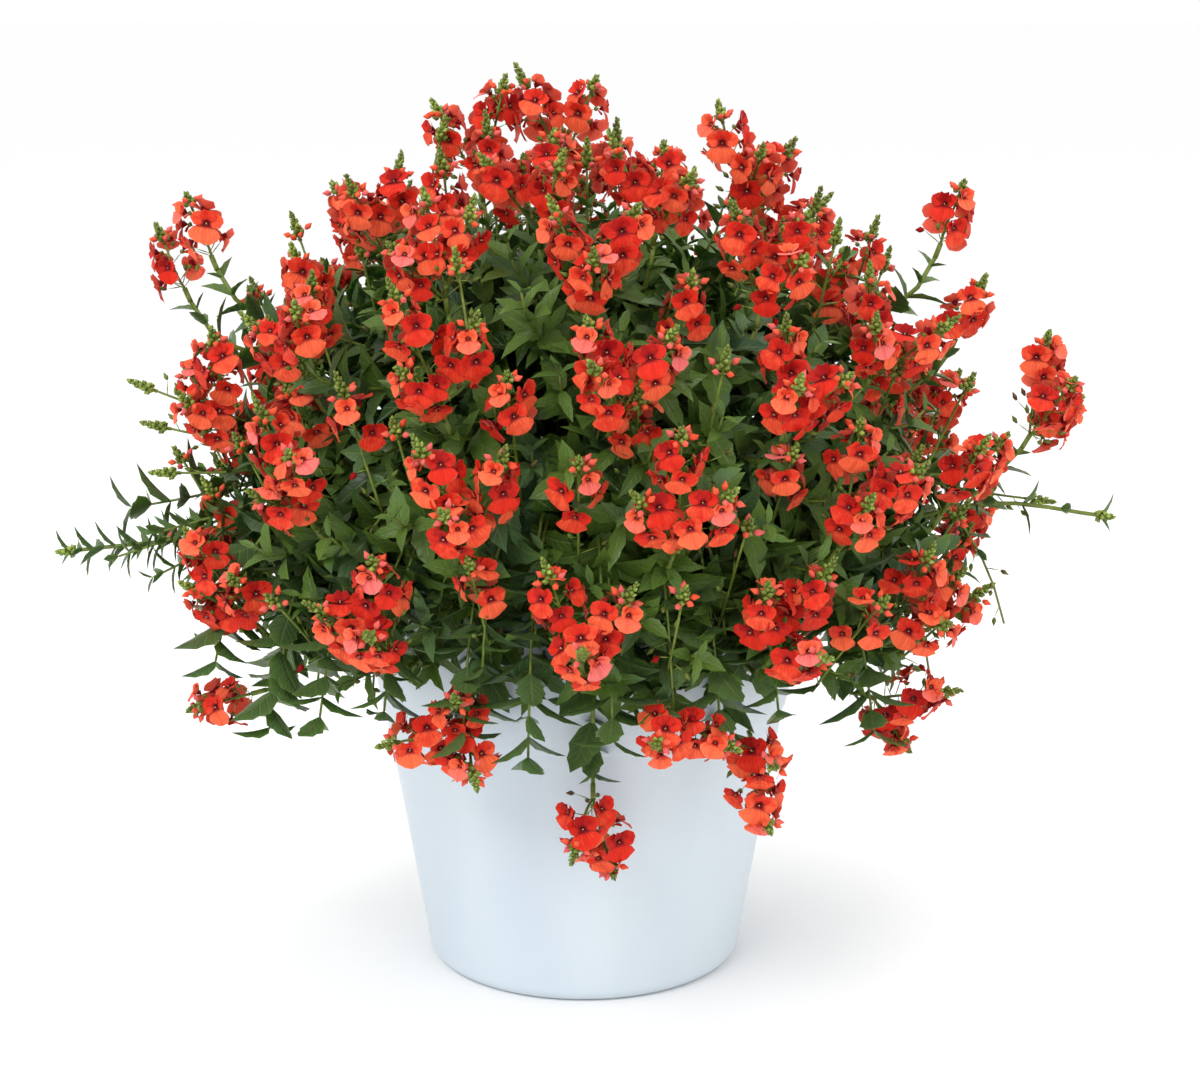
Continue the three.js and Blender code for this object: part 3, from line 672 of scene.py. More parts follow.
@dataclass(frozen=True)
class FlowerForm:
    """A twinspur flower that faces +Z with its lip towards -Y and its two spurs behind."""

    size: float = 1.0
    open: float = 1.0
    wave: float = 0.5
    closing: float = 55
    throat_width: float = 2.6
    throat_depth: float = 2.6
    throat_tone: float = -0.3
    anther_length: float = 1.5
    spur_length: float = 6.0
    spur_lean: float = 62
    spur_spread: float = 14
    spur_place: tuple[float, float, float] = (1.7, -1.6, -2.6)
    spur_tone: float = -0.1

    def lobes(self) -> list[PetalForm]:
        """The five lobes: two small upper ones, two at the sides and the broad lip.

        Returns:
            The lobes.
        """
        shut = (1 - self.open) * self.closing
        return [
            PetalForm(7.2, 3.5, 2, 3, 23, 40 + shut, 0.5, -0.05, self.wave, -0.22),
            PetalForm(7.2, 3.5, 2, 3, -24, 43 + shut, 0.5, -0.06, -self.wave, -0.26),
            PetalForm(8.6, 4.9, 3, 3, 74, 22 + shut, 0.8, -0.1, self.wave, -0.04),
            PetalForm(8.6, 4.9, 3, 3, -76, 26 + shut, 0.8, -0.08, -self.wave, -0.08),
            PetalForm(10.6, 9.4, 4, 3, 180, 14 + shut, 1.3, -0.34, self.wave, 0.2),
        ]

    def shape(self, name: str) -> bpy.types.Mesh:
        """Joins the lobes, the throat, the anthers and the spurs.

        Args:
            name: The shape's name.

        Returns:
            The flower's shape. Its first material is the petal's, and its second the pollen's.
        """
        flower = new_mesh()
        for lobe in self.lobes():
            part = shape_from(lobe.mesh(), "lobe")
            flower.from_mesh(part)
            bpy.data.meshes.remove(part)
        tones = flower.verts.layers.float["tone"]
        throat = bmesh.ops.create_cone(
            flower, cap_ends=False, segments=5, radius1=0.5, radius2=self.throat_width,
            depth=self.throat_depth, matrix=Matrix.Translation((0, 0, -0.7)),
        )["verts"]
        for vert in throat:
            vert[tones] = self.throat_tone
        anthers = bmesh.ops.create_cone(
            flower, cap_ends=True, segments=3, radius1=0.75, radius2=0.3, depth=self.anther_length,
            matrix=Matrix.Translation((0, -0.5, 1.2)),
        )["verts"]
        for face in {face for vert in anthers for face in vert.link_faces}:
            face.material_index = 1
        for side in (-1, 1):
            back = Matrix.Rotation(math.radians(self.spur_lean), 4, "X")
            aside = Matrix.Rotation(math.radians(self.spur_spread * side), 4, "Y")
            x, y, z = self.spur_place
            place = Matrix.Translation((x * side, y, z)) @ back @ aside
            spur = bmesh.ops.create_cone(
                flower, cap_ends=True, segments=3, radius1=0.3, radius2=1.1, depth=self.spur_length,
                matrix=place,
            )["verts"]
            for vert in spur:
                vert[tones] = self.spur_tone
            chart_at(flower, [face for vert in spur for face in vert.link_faces], SPUR_ON_CHART)
        bmesh.ops.scale(flower, vec=(self.size, self.size, self.size), verts=flower.verts)
        return shape_from(flower, name)


def bud_shape(name: str, segments: int, radius: float, length: float, tone: float) -> bpy.types.Mesh:
    """A closed bud or seed pod along +Z with its foot at the origin, thickest below its middle.

    Args:
        name: The shape's name.
        segments: How many sides it has.
        radius: Its largest radius.
        length: Its length.
        tone: Its own tone.

    Returns:
        The shape.
    """
    mesh = new_mesh()
    bmesh.ops.create_cone(
        mesh, cap_ends=True, segments=segments, radius1=radius * BUD_FOOT, radius2=radius * BUD_TIP,
        depth=length, matrix=Matrix.Translation((0, 0, length / 2)),
    )
    sides = [edge for edge in mesh.edges if abs(edge.verts[0].co.z - edge.verts[1].co.z) > length / 2]
    cut = bmesh.ops.subdivide_edges(mesh, edges=sides, cuts=1)["geom_inner"]
    for vert in (item for item in cut if isinstance(item, bmesh.types.BMVert)):
        wide = radius / max(math.hypot(vert.co.x, vert.co.y), 0.01)
        vert.co = Vector((vert.co.x * wide, vert.co.y * wide, length * BUD_BELLY))
    tones = mesh.verts.layers.float["tone"]
    for vert in mesh.verts:
        vert[tones] = tone
    chart_at(mesh, mesh.faces, BUD_ON_CHART)
    return shape_from(mesh, name)


@dataclass(frozen=True)
class SpireForm:
    """The tight spike of green buds on top of a head, along +Z from its foot."""

    height: float
    foot: float
    buds: int
    seed: int
    foot_lean: float = 66
    lean_fall: float = 54
    lean_scatter: float = 10
    foot_bud: float = 1.15
    bud_fall: float = 0.55

    def shape(self, name: str, bud: bpy.types.Mesh) -> bpy.types.Mesh:
        """Sets the buds in a spiral.

        Args:
            name: The shape's name.
            bud: The bud that is repeated.

        Returns:
            The spire's shape.
        """
        draw = random.Random(self.seed)
        spire = Gathering()
        core = stem_shape([Vector((0, 0, -2)), Vector((0, 0, self.height))], 1.1, 0.5, 4)
        spire.add(core, Matrix.Identity(4), 0.4)
        for i in range(self.buds):
            share = (i + 0.5) / self.buds
            ring = self.foot * (1 - share) ** 0.8 + 0.5
            turn = i * GOLDEN_ANGLE
            lean = self.foot_lean - self.lean_fall * share + self.lean_scatter * draw.uniform(-1, 1)
            way = direction(turn, lean)
            point = direction(turn, 90) * (ring * 0.45) + UP * (self.height * share)
            size = self.foot_bud - self.bud_fall * share
            place = basis(way, UP, point) @ Matrix.Scale(size, 4)
            spire.add(bud, place, draw.uniform(-0.15, 0.2) - 0.1 * share)
        return shape_from(spire.mesh, name)


class Shapes:
    """The small shapes that are repeated over the plant."""

    def __init__(self) -> None:
        """Makes every shape once."""
        self.flowers = [
            FlowerForm(1.0, 1.0, 0.8).shape("flower_open"),
            FlowerForm(0.96, 0.84, 1.2).shape("flower_wavy"),
            FlowerForm(1.04, 1.08, -1.0).shape("flower_wide"),
        ]
        self.young_flower = FlowerForm(0.86, 0.62, 0.6).shape("flower_young")
        self.broad_leaf = LeafForm(26, 6.7, 0.34, 0.095, 0.36, 0.22).shape("leaf_broad")
        self.slim_leaf = LeafForm(25, 4.1, 0.38, 0.09, 0.42, 0.28).shape("leaf_slim")
        self.small_leaf = LeafForm(14, 2.5, 0.42, 0.08, 0.5, 0.1, rows=5).shape("leaf_small")
        self.green_bud = bud_shape("bud_green", 4, 1.75, 3.4, 0.45)
        self.pink_bud = bud_shape("bud_pink", 5, 1.9, 5.0, 0.2)
        self.pod = bud_shape("pod", 5, 1.45, 5.2, 0.15)
        self.pedicel = bud_shape("pedicel", 3, 0.42, 1.0, 0.3)
        self.calyx = bud_shape("calyx", 5, 1.7, 2.6, 0.25)
        self.spires = [
            SpireForm(11, 2.5, 15, 3).shape("spire_short", self.green_bud),
            SpireForm(15, 2.4, 18, 4).shape("spire_tall", self.green_bud),
            SpireForm(8, 2.8, 13, 5).shape("spire_flat", self.green_bud),
        ]


@dataclass
class Raceme:
    """One flowering stalk, from its foot to the middle of its flower head."""

    foot: Vector
    head: Head
    draw: random.Random
    flowers: int = 7
    pods: int = 6
    stalk_radius: float = 0.85
    head_depth: float = 24
    ring: float = 5.6
    ring_growth: float = 3.8
    spire_rise: float = 4
    top_lift: float = 34
    lift_fall: float = 46
    lift_scatter: float = 16
    turn_scatter: float = 14
    roll: float = 24
    outward_share: float = 0.55
    sway: float = 0.12
    smallest: float = 0.78
    darkest: float = 0.2
    lightest: float = 0.75
    young_share: float = 0.2
    young_tone: float = 0.9
    young_fading: float = 4.5
    pedicel_drop: float = 6
    calyx_depth: float = 3.2
    young_buds: int = 5
    shortest_pod_stalk: float = 8
    longest_pod_stalk: float = 13
    pink_share: float = 0.12

    def grow(self, petals: Gathering, greens: Gathering, shapes: Shapes) -> None:
        """Adds the stalk, its spire, its flowers and its seed pods.

        Args:
            petals: Takes what is coral.
            greens: Takes what is green.
            shapes: The shapes to repeat.
        """
        axis = self.head.axis
        top = self.head.point + axis * self.spire_rise
        knee = self.foot.lerp(top, 0.45) + Vector((self.draw.gauss(0, 2), self.draw.gauss(0, 2), 0))
        line = bezier(self.foot, knee, top - axis * 12, top, 6)
        greens.add(stem_shape(line, self.stalk_radius, 0.7, 5), Matrix.Identity(4), 0.35)
        spire = basis(axis, direction(self.draw.uniform(0, 360), 90), top)
        greens.add(self.draw.choice(shapes.spires), spire, self.draw.uniform(-0.1, 0.1))
        self.add_flowers(petals, greens, shapes, top)
        self.add_young(petals, greens, shapes, top)
        self.add_pods(greens, petals, shapes, line)

    def add_flowers(self, petals: Gathering, greens: Gathering, shapes: Shapes, top: Vector) -> None:
        """Adds the open flowers in loose rings below the spire.

        Args:
            petals: Takes what is coral.
            greens: Takes what is green.
            shapes: The shapes to repeat.
            top: The foot of the spire.
        """
        axis = self.head.axis
        start = self.draw.uniform(0, 360)
        level = basis(axis, Vector((0, 0.2, 1)), Vector()).to_3x3()
        for i in range(self.flowers):
            share = (i + 0.5) / self.flowers
            turn = start + i * GOLDEN_ANGLE + self.draw.uniform(-self.turn_scatter, self.turn_scatter)
            turn = math.radians(turn)
            radial = level @ Vector((math.cos(turn), math.sin(turn), 0))
            lift = self.top_lift - self.lift_fall * share
            lift += self.draw.uniform(-self.lift_scatter, self.lift_scatter)
            facing = radial * math.cos(math.radians(lift)) + axis * math.sin(math.radians(lift))
            facing = (facing + self.head.outward * self.outward_share).normalized()
            height = 1 - self.head_depth * share
            ring = self.ring + self.ring_growth * min(1.0, share * 1.5) + self.draw.uniform(-1.2, 2.4)
            centre = top + axis * height + radial * ring
            sway = Vector([self.draw.gauss(0, self.sway) for _ in range(3)])
            place = basis(facing + sway, UP + sway, centre)
            roll = Matrix.Rotation(math.radians(self.draw.uniform(-self.roll, self.roll)), 4, "Z")
            size = self.draw.uniform(self.smallest, 1.0)
            if share < self.young_share:
                shape = shapes.young_flower
            else:
                shape = self.draw.choice(shapes.flowers)
            tone = self.draw.uniform(self.darkest, self.lightest)
            tone += max(0.0, self.young_tone - self.young_fading * share)
            petals.add(shape, place @ roll @ Matrix.Scale(size, 4), tone)
            stem_end = top + axis * (height - self.pedicel_drop)
            self.add_pedicel(greens, shapes, stem_end, centre - facing * self.calyx_depth, facing)

    def add_pedicel(
        self, greens: Gathering, shapes: Shapes, foot: Vector, tip: Vector, facing: Vector
    ) -> None:
        """Adds the thin stalk of one flower, with its calyx.

        Args:
            greens: Takes what is green.
            shapes: The shapes to repeat.
            foot: Where it leaves the stem.
            tip: Where the flower stands.
            facing: The direction that the flower faces.
        """
        greens.add_between(shapes.pedicel, foot, tip, 0.25)
        greens.add(shapes.calyx, basis(facing, UP, tip - facing * 1.2), 0.1)

    def add_young(self, petals: Gathering, greens: Gathering, shapes: Shapes, top: Vector) -> None:
        """Adds a few pink buds close below the spire.

        Args:
            petals: Takes what is coral.
            greens: Takes what is green.
            shapes: The shapes to repeat.
            top: The foot of the spire.
        """
        axis = self.head.axis
        level = basis(axis, Vector((0, 0.2, 1)), Vector()).to_3x3()
        for i in range(self.young_buds):
            turn = math.radians(i * 75 + self.draw.uniform(-25, 25))
            radial = level @ Vector((math.cos(turn), math.sin(turn), 0))
            foot = top + axis * self.draw.uniform(-2, 2)
            tip = foot + radial * self.draw.uniform(3, 5.5) + axis * 2
            petals.add(shapes.pink_bud, basis(radial + axis * 0.5, UP, tip), self.draw.uniform(0.5, 1.4))
            greens.add_between(shapes.pedicel, foot, tip, 0.2)

    def add_pods(
        self, greens: Gathering, petals: Gathering, shapes: Shapes, line: Sequence[Vector]
    ) -> None:
        """Adds the seed pods on their thin stalks, down the stem below the flowers.

        Args:
            greens: Takes what is green.
            petals: Takes what is coral.
            shapes: The shapes to repeat.
            line: The stem that they stand on.
        """
        length = sum((b - a).length for a, b in zip(line, line[1:]))
        room = max(0.1, 1 - (self.head_depth + 6) / max(length, 1))
        for i in range(self.pods):
            share = room * (1 - (i + 0.3) / self.pods)
            point, way = along(line, share)
            turn = direction(i * GOLDEN_ANGLE + self.draw.uniform(-20, 20), 90)
            aside = way.cross(turn)
            if aside.length < 0.1:
                continue
            out = (aside.normalized() + way * self.draw.uniform(0.3, 0.8)).normalized()
            reach = self.draw.uniform(self.shortest_pod_stalk, self.longest_pod_stalk)
            tip = point + out * reach
            greens.add_between(shapes.pedicel, point, tip, 0.25)
            if self.draw.random() < self.pink_share:
                petals.add(shapes.pink_bud, basis(out - UP * 0.6, UP, tip), -0.7)
            else:
                greens.add(shapes.pod, basis(out + way * 0.5, UP, tip), self.draw.uniform(-0.2, 0.2))


@dataclass
class FlowerBunch:
    """A bunch of racemes on one fork, as two pieces: its petals and its green stalks."""

    name: str
    plan: Bunch
    seed: int
    collar_radius: float = 1.5
    pod_spacing: float = 7

    def build(self, shapes: Shapes, finishes: "Finishes") -> None:
        """Grows the racemes and dresses both pieces.

        Args:
            shapes: The shapes to repeat.
            finishes: The object's materials.
        """
        draw = random.Random(self.seed)
        petals, greens = Gathering(), Gathering()
        plan = self.plan
        collar = [plan.seat, plan.seat.lerp(plan.fork, 0.5), plan.fork + plan.axis]
        collar_shape = stem_shape(collar, self.collar_radius, self.collar_radius, 6)
        greens.add(collar_shape, Matrix.Identity(4), 0.3)
        for head in plan.heads:
            Raceme(plan.fork, head, draw, pods=self.pods(head)).grow(petals, greens, shapes)
        petals.finish(
            f"{self.name}_petals", "coral_petals", [self.name], [finishes.petal, finishes.pollen]
        )
        greens.finish(f"{self.name}_stalks", "green_leaves", [self.name], [finishes.stalk])

    def pods(self, head: Head) -> int:
        """How many seed pods a raceme has room for."""
        return round((head.point - self.plan.fork).length / self.pod_spacing)


@dataclass
class LeafyStem:
    """A stem with opposite leaf pairs, each pair turned a quarter against the last."""

    line: Sequence[Vector]
    draw: random.Random
    first: float = 0.35
    last: float = 1.0
    spacing: float = 11
    largest: float = 1.1
    smallest: float = 0.55
    slim_share: float = 0.45
    radius: float = 1.1
    tip_radius: float = 0.7
    upward: float = 42
    scatter: float = 16
    turn_scatter: float = 12
    growing_pairs: float = 3
    face_up: float = 0.35
    darkest: float = 0.2
    lightest: float = 0.9
    small_below: float = 0.62
    small_growth: float = 1.5

    def grow(self, greens: Gathering, shapes: Shapes) -> None:
        """Adds the stem and its leaves.

        Args:
            greens: Takes the leaves as its first material, and the stem as its second.
            shapes: The shapes to repeat.
        """
        stem = stem_shape(self.line, self.radius, self.tip_radius, 5)
        greens.add(recoloured(stem, 1), Matrix.Identity(4), 0.3)
        length = sum((b - a).length for a, b in zip(self.line, self.line[1:]))
        pairs = max(2, round(length * (self.last - self.first) / self.spacing))
        turn = self.draw.uniform(0, 180)
        for i in range(pairs):
            share = self.last - (self.last - self.first) * i / pairs
            point, way = along(self.line, share)
            size = self.smallest + (self.largest - self.smallest) * min(1.0, (i + 0.2) / self.growing_pairs)
            self.add_pair(greens, shapes, point, way, turn + 90 * i, size)

    def add_pair(
        self, greens: Gathering, shapes: Shapes, point: Vector, way: Vector, turn: float, size: float
    ) -> None:
        """Adds two opposite leaves.

        Args:
            greens: Takes the leaves.
            shapes: The shapes to repeat.
            point: Where they stand on the stem.
            way: The direction of the stem there.
            turn: Their turn about the stem, in degrees.
            size: Their size.
        """
        level = basis(way, Vector((0.2, 0.1, 1)), Vector()).to_3x3()
        for side in (0, 180):
            angle = math.radians(turn + side + self.draw.uniform(-self.turn_scatter, self.turn_scatter))
            aside = level @ Vector((math.cos(angle), math.sin(angle), 0))
            lift = math.radians(self.upward + self.draw.uniform(-self.scatter, self.scatter))
            out = aside * math.cos(lift) + way * math.sin(lift)
            face = way * math.cos(lift) - aside * math.sin(lift) + UP * self.face_up
            own = size * self.draw.uniform(0.85, 1.15)
            if own < self.small_below:
                shape = shapes.small_leaf
                own *= self.small_growth
            elif self.draw.random() < self.slim_share:
                shape = shapes.slim_leaf
            else:
                shape = shapes.broad_leaf
            place = leaf_place(point, out, face) @ Matrix.Scale(own, 4)
            greens.add(shape, place, self.draw.uniform(self.darkest, self.lightest))


def leaf_place(point: Vector, out: Vector, face: Vector) -> Matrix:
    """The place of a leaf whose root is at a point, that runs out and whose top faces a direction.

    Args:
        point: Where its root is.
        out: The direction that it runs in.
        face: The direction that its top faces.

    Returns:
        The place as a matrix.
    """
    y = out.normalized()
    x = y.cross(face).normalized()
    z = x.cross(y)
    return place_of(x, y, z, point)


class ShootEnd(Enum):
    """What a lone shoot of the outline ends in."""

    LEAVES = "leaves"
    SMALL_LEAVES = "small leaves"
    BUDS = "buds"
    PODS = "pods"


# Seed pods of a lone shoot: the shares of the stem where they start and end, and how many there are
POD_ROW = (0.55, 0.97, 6)

# Lone shoots that stand out of the outline: the tip of each, and what it ends in
LONE_SHOOTS = (
    ((-259, -20, 274), ShootEnd.LEAVES),
    ((-244, -20, 342), ShootEnd.BUDS),
    ((-237, -20, 320), ShootEnd.BUDS),
    ((-229, -40, 298), ShootEnd.BUDS),
    ((-203, -90, 202), ShootEnd.LEAVES),
    ((-170, -120, 173), ShootEnd.LEAVES),
    ((-139, -150, 188), ShootEnd.LEAVES),
    ((-262, -50, 252), ShootEnd.SMALL_LEAVES),
    ((-240, -62, 268), ShootEnd.SMALL_LEAVES),
    ((-246, -34, 236), ShootEnd.SMALL_LEAVES),
    ((-104, -160, 194), ShootEnd.LEAVES),
    ((-62, -170, 186), ShootEnd.LEAVES),
    ((-28, -176, 174), ShootEnd.LEAVES),
    ((16, -178, 184), ShootEnd.LEAVES),
    ((48, -168, 192), ShootEnd.PODS),
    ((73, -158, 183), ShootEnd.LEAVES),
    ((104, -150, 192), ShootEnd.LEAVES),
    ((158, -122, 172), ShootEnd.LEAVES),
    ((197, -60, 180), ShootEnd.PODS),
    ((255, -20, 279), ShootEnd.BUDS),
    ((244, -20, 205), ShootEnd.PODS),
    ((137, -60, 428), ShootEnd.BUDS),
    ((-81, 0, 480), ShootEnd.BUDS),
)


@dataclass
class Bush:
    """The leafy bush: dense leaves over its core, and leafy shoots out to the flowers."""

    bunches: Sequence[Bunch]
    core_leaves: int = 1500
    shoots: int = 260
    sectors: int = 4
    skirt_shoots: int = 40
    lowest_lean: float = 98
    reach_steps: tuple[tuple[float, float], ...] = ((0, 248), (40, 242), (66, 236), (83, 226), (98, 205))
    shortest_shoot: float = 0.82
    longest_shoot: float = 1.03
    shoot_swell: float = 14
    shoot_sway: float = 10
    shoot_straight: float = 30
    trunks: int = 7
    trunk_ring: float = 44
    trunk_foot: float = 200
    trunk_height: float = 190
    core_covered: float = 1.75
    smallest_heart_leaf: float = 0.95
    largest_heart_leaf: float = 1.4
    heart_broad_share: float = 0.6
    shallowest_drop: float = 10
    deepest_drop: float = 58
    narrowest_skirt: float = 160
    widest_skirt: float = 192
    seed: int = 71

    def build(self, shapes: Shapes, finishes: "Finishes") -> None:
        """Grows the core, the shoots and the bunches' stems, each as a piece of its own.

        Args:
            shapes: The shapes to repeat.
            finishes: The object's materials.
        """
        draw = random.Random(self.seed)
        dressed = [finishes.leaf, finishes.stalk]
        core = Gathering()
        self.add_core(core, shapes, draw)
        core.finish("bush_heart", "green_leaves", ["leafy_bush"], dressed)
        outer = [Gathering() for _ in range(self.sectors)]
        self.add_shoots(outer, shapes, draw)
        for i, sector in enumerate(outer):
            sector.finish(f"bush_shoots_{i + 1}", "green_leaves", ["leafy_bush"], dressed)
        stems = Gathering()
        self.add_bunch_stems(stems, shapes, draw)
        stems.finish("bush_flower_stems", "green_leaves", ["leafy_bush"], dressed)
        skirt = Gathering()
        self.add_skirt(skirt, shapes, draw)
        for tip, ending in LONE_SHOOTS:
            self.add_lone_shoot(skirt, shapes, draw, Vector(tip), ending)
        skirt.finish("bush_hanging_shoots", "green_leaves", ["leafy_bush"], dressed)

    def add_core(self, greens: Gathering, shapes: Shapes, draw: random.Random) -> None:
        """Adds the trunk stems and the crowded leaves round the middle of the bush, toned darker as painted
        shade.

        Args:
            greens: Takes what is green.
            shapes: The shapes to repeat.
            draw: The draws that vary them.
        """
        for i in range(self.trunks):
            turn = i * 360 / (self.trunks - 1) + 10
            foot = direction(turn, 90) * (self.trunk_ring if i else 0) + UP * self.trunk_foot
            top = foot * 0.6 + UP * self.trunk_height
            knee = foot + UP * 60
            trunk = stem_shape(bezier(foot, knee, top - UP * 20, top, 5), 3.2, 1.8, 6)
            greens.add(recoloured(trunk, 1), Matrix.Identity(4), 0.0)
        for i in range(self.core_leaves):
            rise = 1 - (i + 0.5) / self.core_leaves * self.core_covered
            flat = math.sqrt(max(0.0, 1 - rise * rise))
            turn = math.radians(i * GOLDEN_ANGLE)
            way = Vector((flat * math.cos(turn), flat * math.sin(turn), rise))
            point = core_point(way, draw.uniform(0.7, 1.0 + 0.3 * max(0.0, rise)))
            sideways = Vector((draw.gauss(0, 0.5), draw.gauss(0, 0.5), draw.gauss(-0.2, 0.4)))
            out = (way + sideways).normalized()
            face = (UP * 1.2 + way + Vector((draw.gauss(0, 0.5), draw.gauss(0, 0.5), 0))).normalized()
            size = draw.uniform(self.smallest_heart_leaf, self.largest_heart_leaf)
            shape = shapes.broad_leaf if draw.random() < self.heart_broad_share else shapes.slim_leaf
            place = leaf_place(point, out, face) @ Matrix.Scale(size, 4)
            # Darker tones than the shoots' leaves: painted shade deep inside the bush
            greens.add(shape, place, draw.uniform(-0.35, 0.25))

    def add_shoots(self, sectors: Sequence[Gathering], shapes: Shapes, draw: random.Random) -> None:
        """Adds leafy shoots that fill the mound evenly below the flowers.

        Args:
            sectors: Take the shoots of each quarter of the turn.
            shapes: The shapes to repeat.
            draw: The draws that vary them.
        """
        lowest = math.cos(math.radians(self.lowest_lean))
        for i in range(self.shoots):
            rise = 1 - (1 - lowest) * (i + 0.5) / self.shoots
            lean = math.degrees(math.acos(rise))
            turn = i * GOLDEN_ANGLE
            reach = stepped(self.reach_steps, lean) * draw.uniform(self.shortest_shoot, self.longest_shoot)
            tip = mound_point(turn, lean, reach)
            start = core_point((tip - CORE_MIDDLE).normalized(), 0.6)
            axis = direction(turn, stepped(STALK_LEAN_STEPS, lean))
            sway = Vector((draw.gauss(0, self.shoot_sway), draw.gauss(0, self.shoot_sway), 0))
            knee = start.lerp(tip, 0.4) + UP * self.shoot_swell + sway
            line = bezier(start, knee, tip - axis * self.shoot_straight, tip, 7)
            sector = sectors[int(turn % 360 / 360 * len(sectors))]
            LeafyStem(line, draw, first=0.3, largest=draw.uniform(0.95, 1.25)).grow(sector, shapes)

    def add_bunch_stems(self, greens: Gathering, shapes: Shapes, draw: random.Random) -> None:
        """Adds the stem below each bunch, leafy where it leaves the bush.

        Args:
            greens: Takes what is green.
            shapes: The shapes to repeat.
            draw: The draws that vary them.
        """
        for plan in self.bunches:
            way = (plan.seat - CORE_MIDDLE).normalized()
            way.z = max(way.z, -0.06)
            start = core_point(way.normalized(), 0.7)
            rise = plan.seat - plan.axis * (0.35 * (plan.seat - start).length)
            line = bezier(start, start.lerp(plan.seat, 0.4), rise, plan.seat, 7)
            LeafyStem(line, draw, first=0.25, last=0.96, radius=1.5, tip_radius=1.4).grow(greens, shapes)

    def add_skirt(self, greens: Gathering, shapes: Shapes, draw: random.Random) -> None:
        """Adds drooping shoots that hang over the pot's rim.

        Args:
            greens: Takes what is green.
            shapes: The shapes to repeat.
            draw: The draws that vary them.
        """
        for i in range(self.skirt_shoots):
            turn = i * 360 / self.skirt_shoots + draw.uniform(-4, 4)
            out = direction(turn, 90)
            start = core_point(direction(turn, 97), 0.8)
            drop = draw.uniform(self.shallowest_drop, self.deepest_drop)
            wide = draw.uniform(self.narrowest_skirt, self.widest_skirt)
            tip = Vector((out.x * wide, out.y * wide * 0.93, 248 - drop))
            over = Vector((out.x * wide * 0.96, out.y * wide * 0.9, 274))
            line = bezier(start, start.lerp(over, 0.6) + UP * 12, over, tip, 7)
            LeafyStem(line, draw, first=0.3, upward=30).grow(greens, shapes)

    def add_lone_shoot(
        self, greens: Gathering, shapes: Shapes, draw: random.Random, tip: Vector, ending: ShootEnd
    ) -> None:
        """Adds one shoot that stands out of the outline.

        Args:
            greens: Takes the shoot.
            shapes: The shapes to repeat.
            draw: The draws that vary its leaves.
            tip: The place of its tip.
            ending: What it ends in.
        """
        turn = math.degrees(math.atan2(tip.y, tip.x))
        start = core_point(direction(turn, 90), 0.75)
        if tip.z < 236:
            over = Vector((tip.x * 0.93, tip.y * 0.93, 276))
            line = bezier(start, start.lerp(over, 0.6) + UP * 12, over, tip, 9)
        else:
            line = bezier(start, start.lerp(tip, 0.5) - UP * 6, tip.lerp(start, 0.25) - UP * 4, tip, 9)
        if ending is ShootEnd.LEAVES:
            stem = LeafyStem(line, draw, spacing=11, largest=1.25, smallest=0.8, slim_share=0.15, upward=30)
        elif ending is ShootEnd.SMALL_LEAVES:
            stem = LeafyStem(line, draw, spacing=7, largest=0.7, smallest=0.5, slim_share=1.0)
        else:
            stem = LeafyStem(line, draw, last=0.72, largest=0.9, slim_share=1.0, upward=34)
        stem.grow(greens, shapes)
        if ending is ShootEnd.BUDS:
            top, out = along(line, 1.0)
            greens.add(recoloured(shapes.spires[1], 1), basis(out, UP, top), 0.1)
        if ending in (ShootEnd.BUDS, ShootEnd.PODS):
            add_pods(greens, shapes, draw, line)


def recoloured(shape: bpy.types.Mesh, number: int) -> bpy.types.Mesh:
    """A copy of a shape that takes one of a piece's materials by its number.

    Args:
        shape: The shape.
        number: The number of the piece's material.

    Returns:
        The copy.
    """
    copy = shape.copy()
    for face in copy.polygons:
        face.material_index = number
    return copy


def add_pods(greens: Gathering, shapes: Shapes, draw: random.Random, line: Sequence[Vector]) -> None:
    """Adds seed pods on thin stalks along a leafy piece's stem.

    Args:
        greens: Takes the pods as its second material.
        shapes: The shapes to repeat.
        draw: The draws that vary them.
        line: The stem.
    """
    first, last, count = POD_ROW
    pod, stalk = recoloured(shapes.pod, 1), recoloured(shapes.pedicel, 1)
    for i in range(count):
        point, way = along(line, first + (last - first) * (i + 0.5) / count)
        aside = way.cross(direction(i * GOLDEN_ANGLE, 60)).normalized()
        out = (aside + way * draw.uniform(0.3, 0.8)).normalized()
        tip = point + out * draw.uniform(8, 13)
        greens.add_between(stalk, point, tip, 0.25)
        greens.add(pod, basis(out + way * 0.5, UP, tip), draw.uniform(-0.1, 0.2))


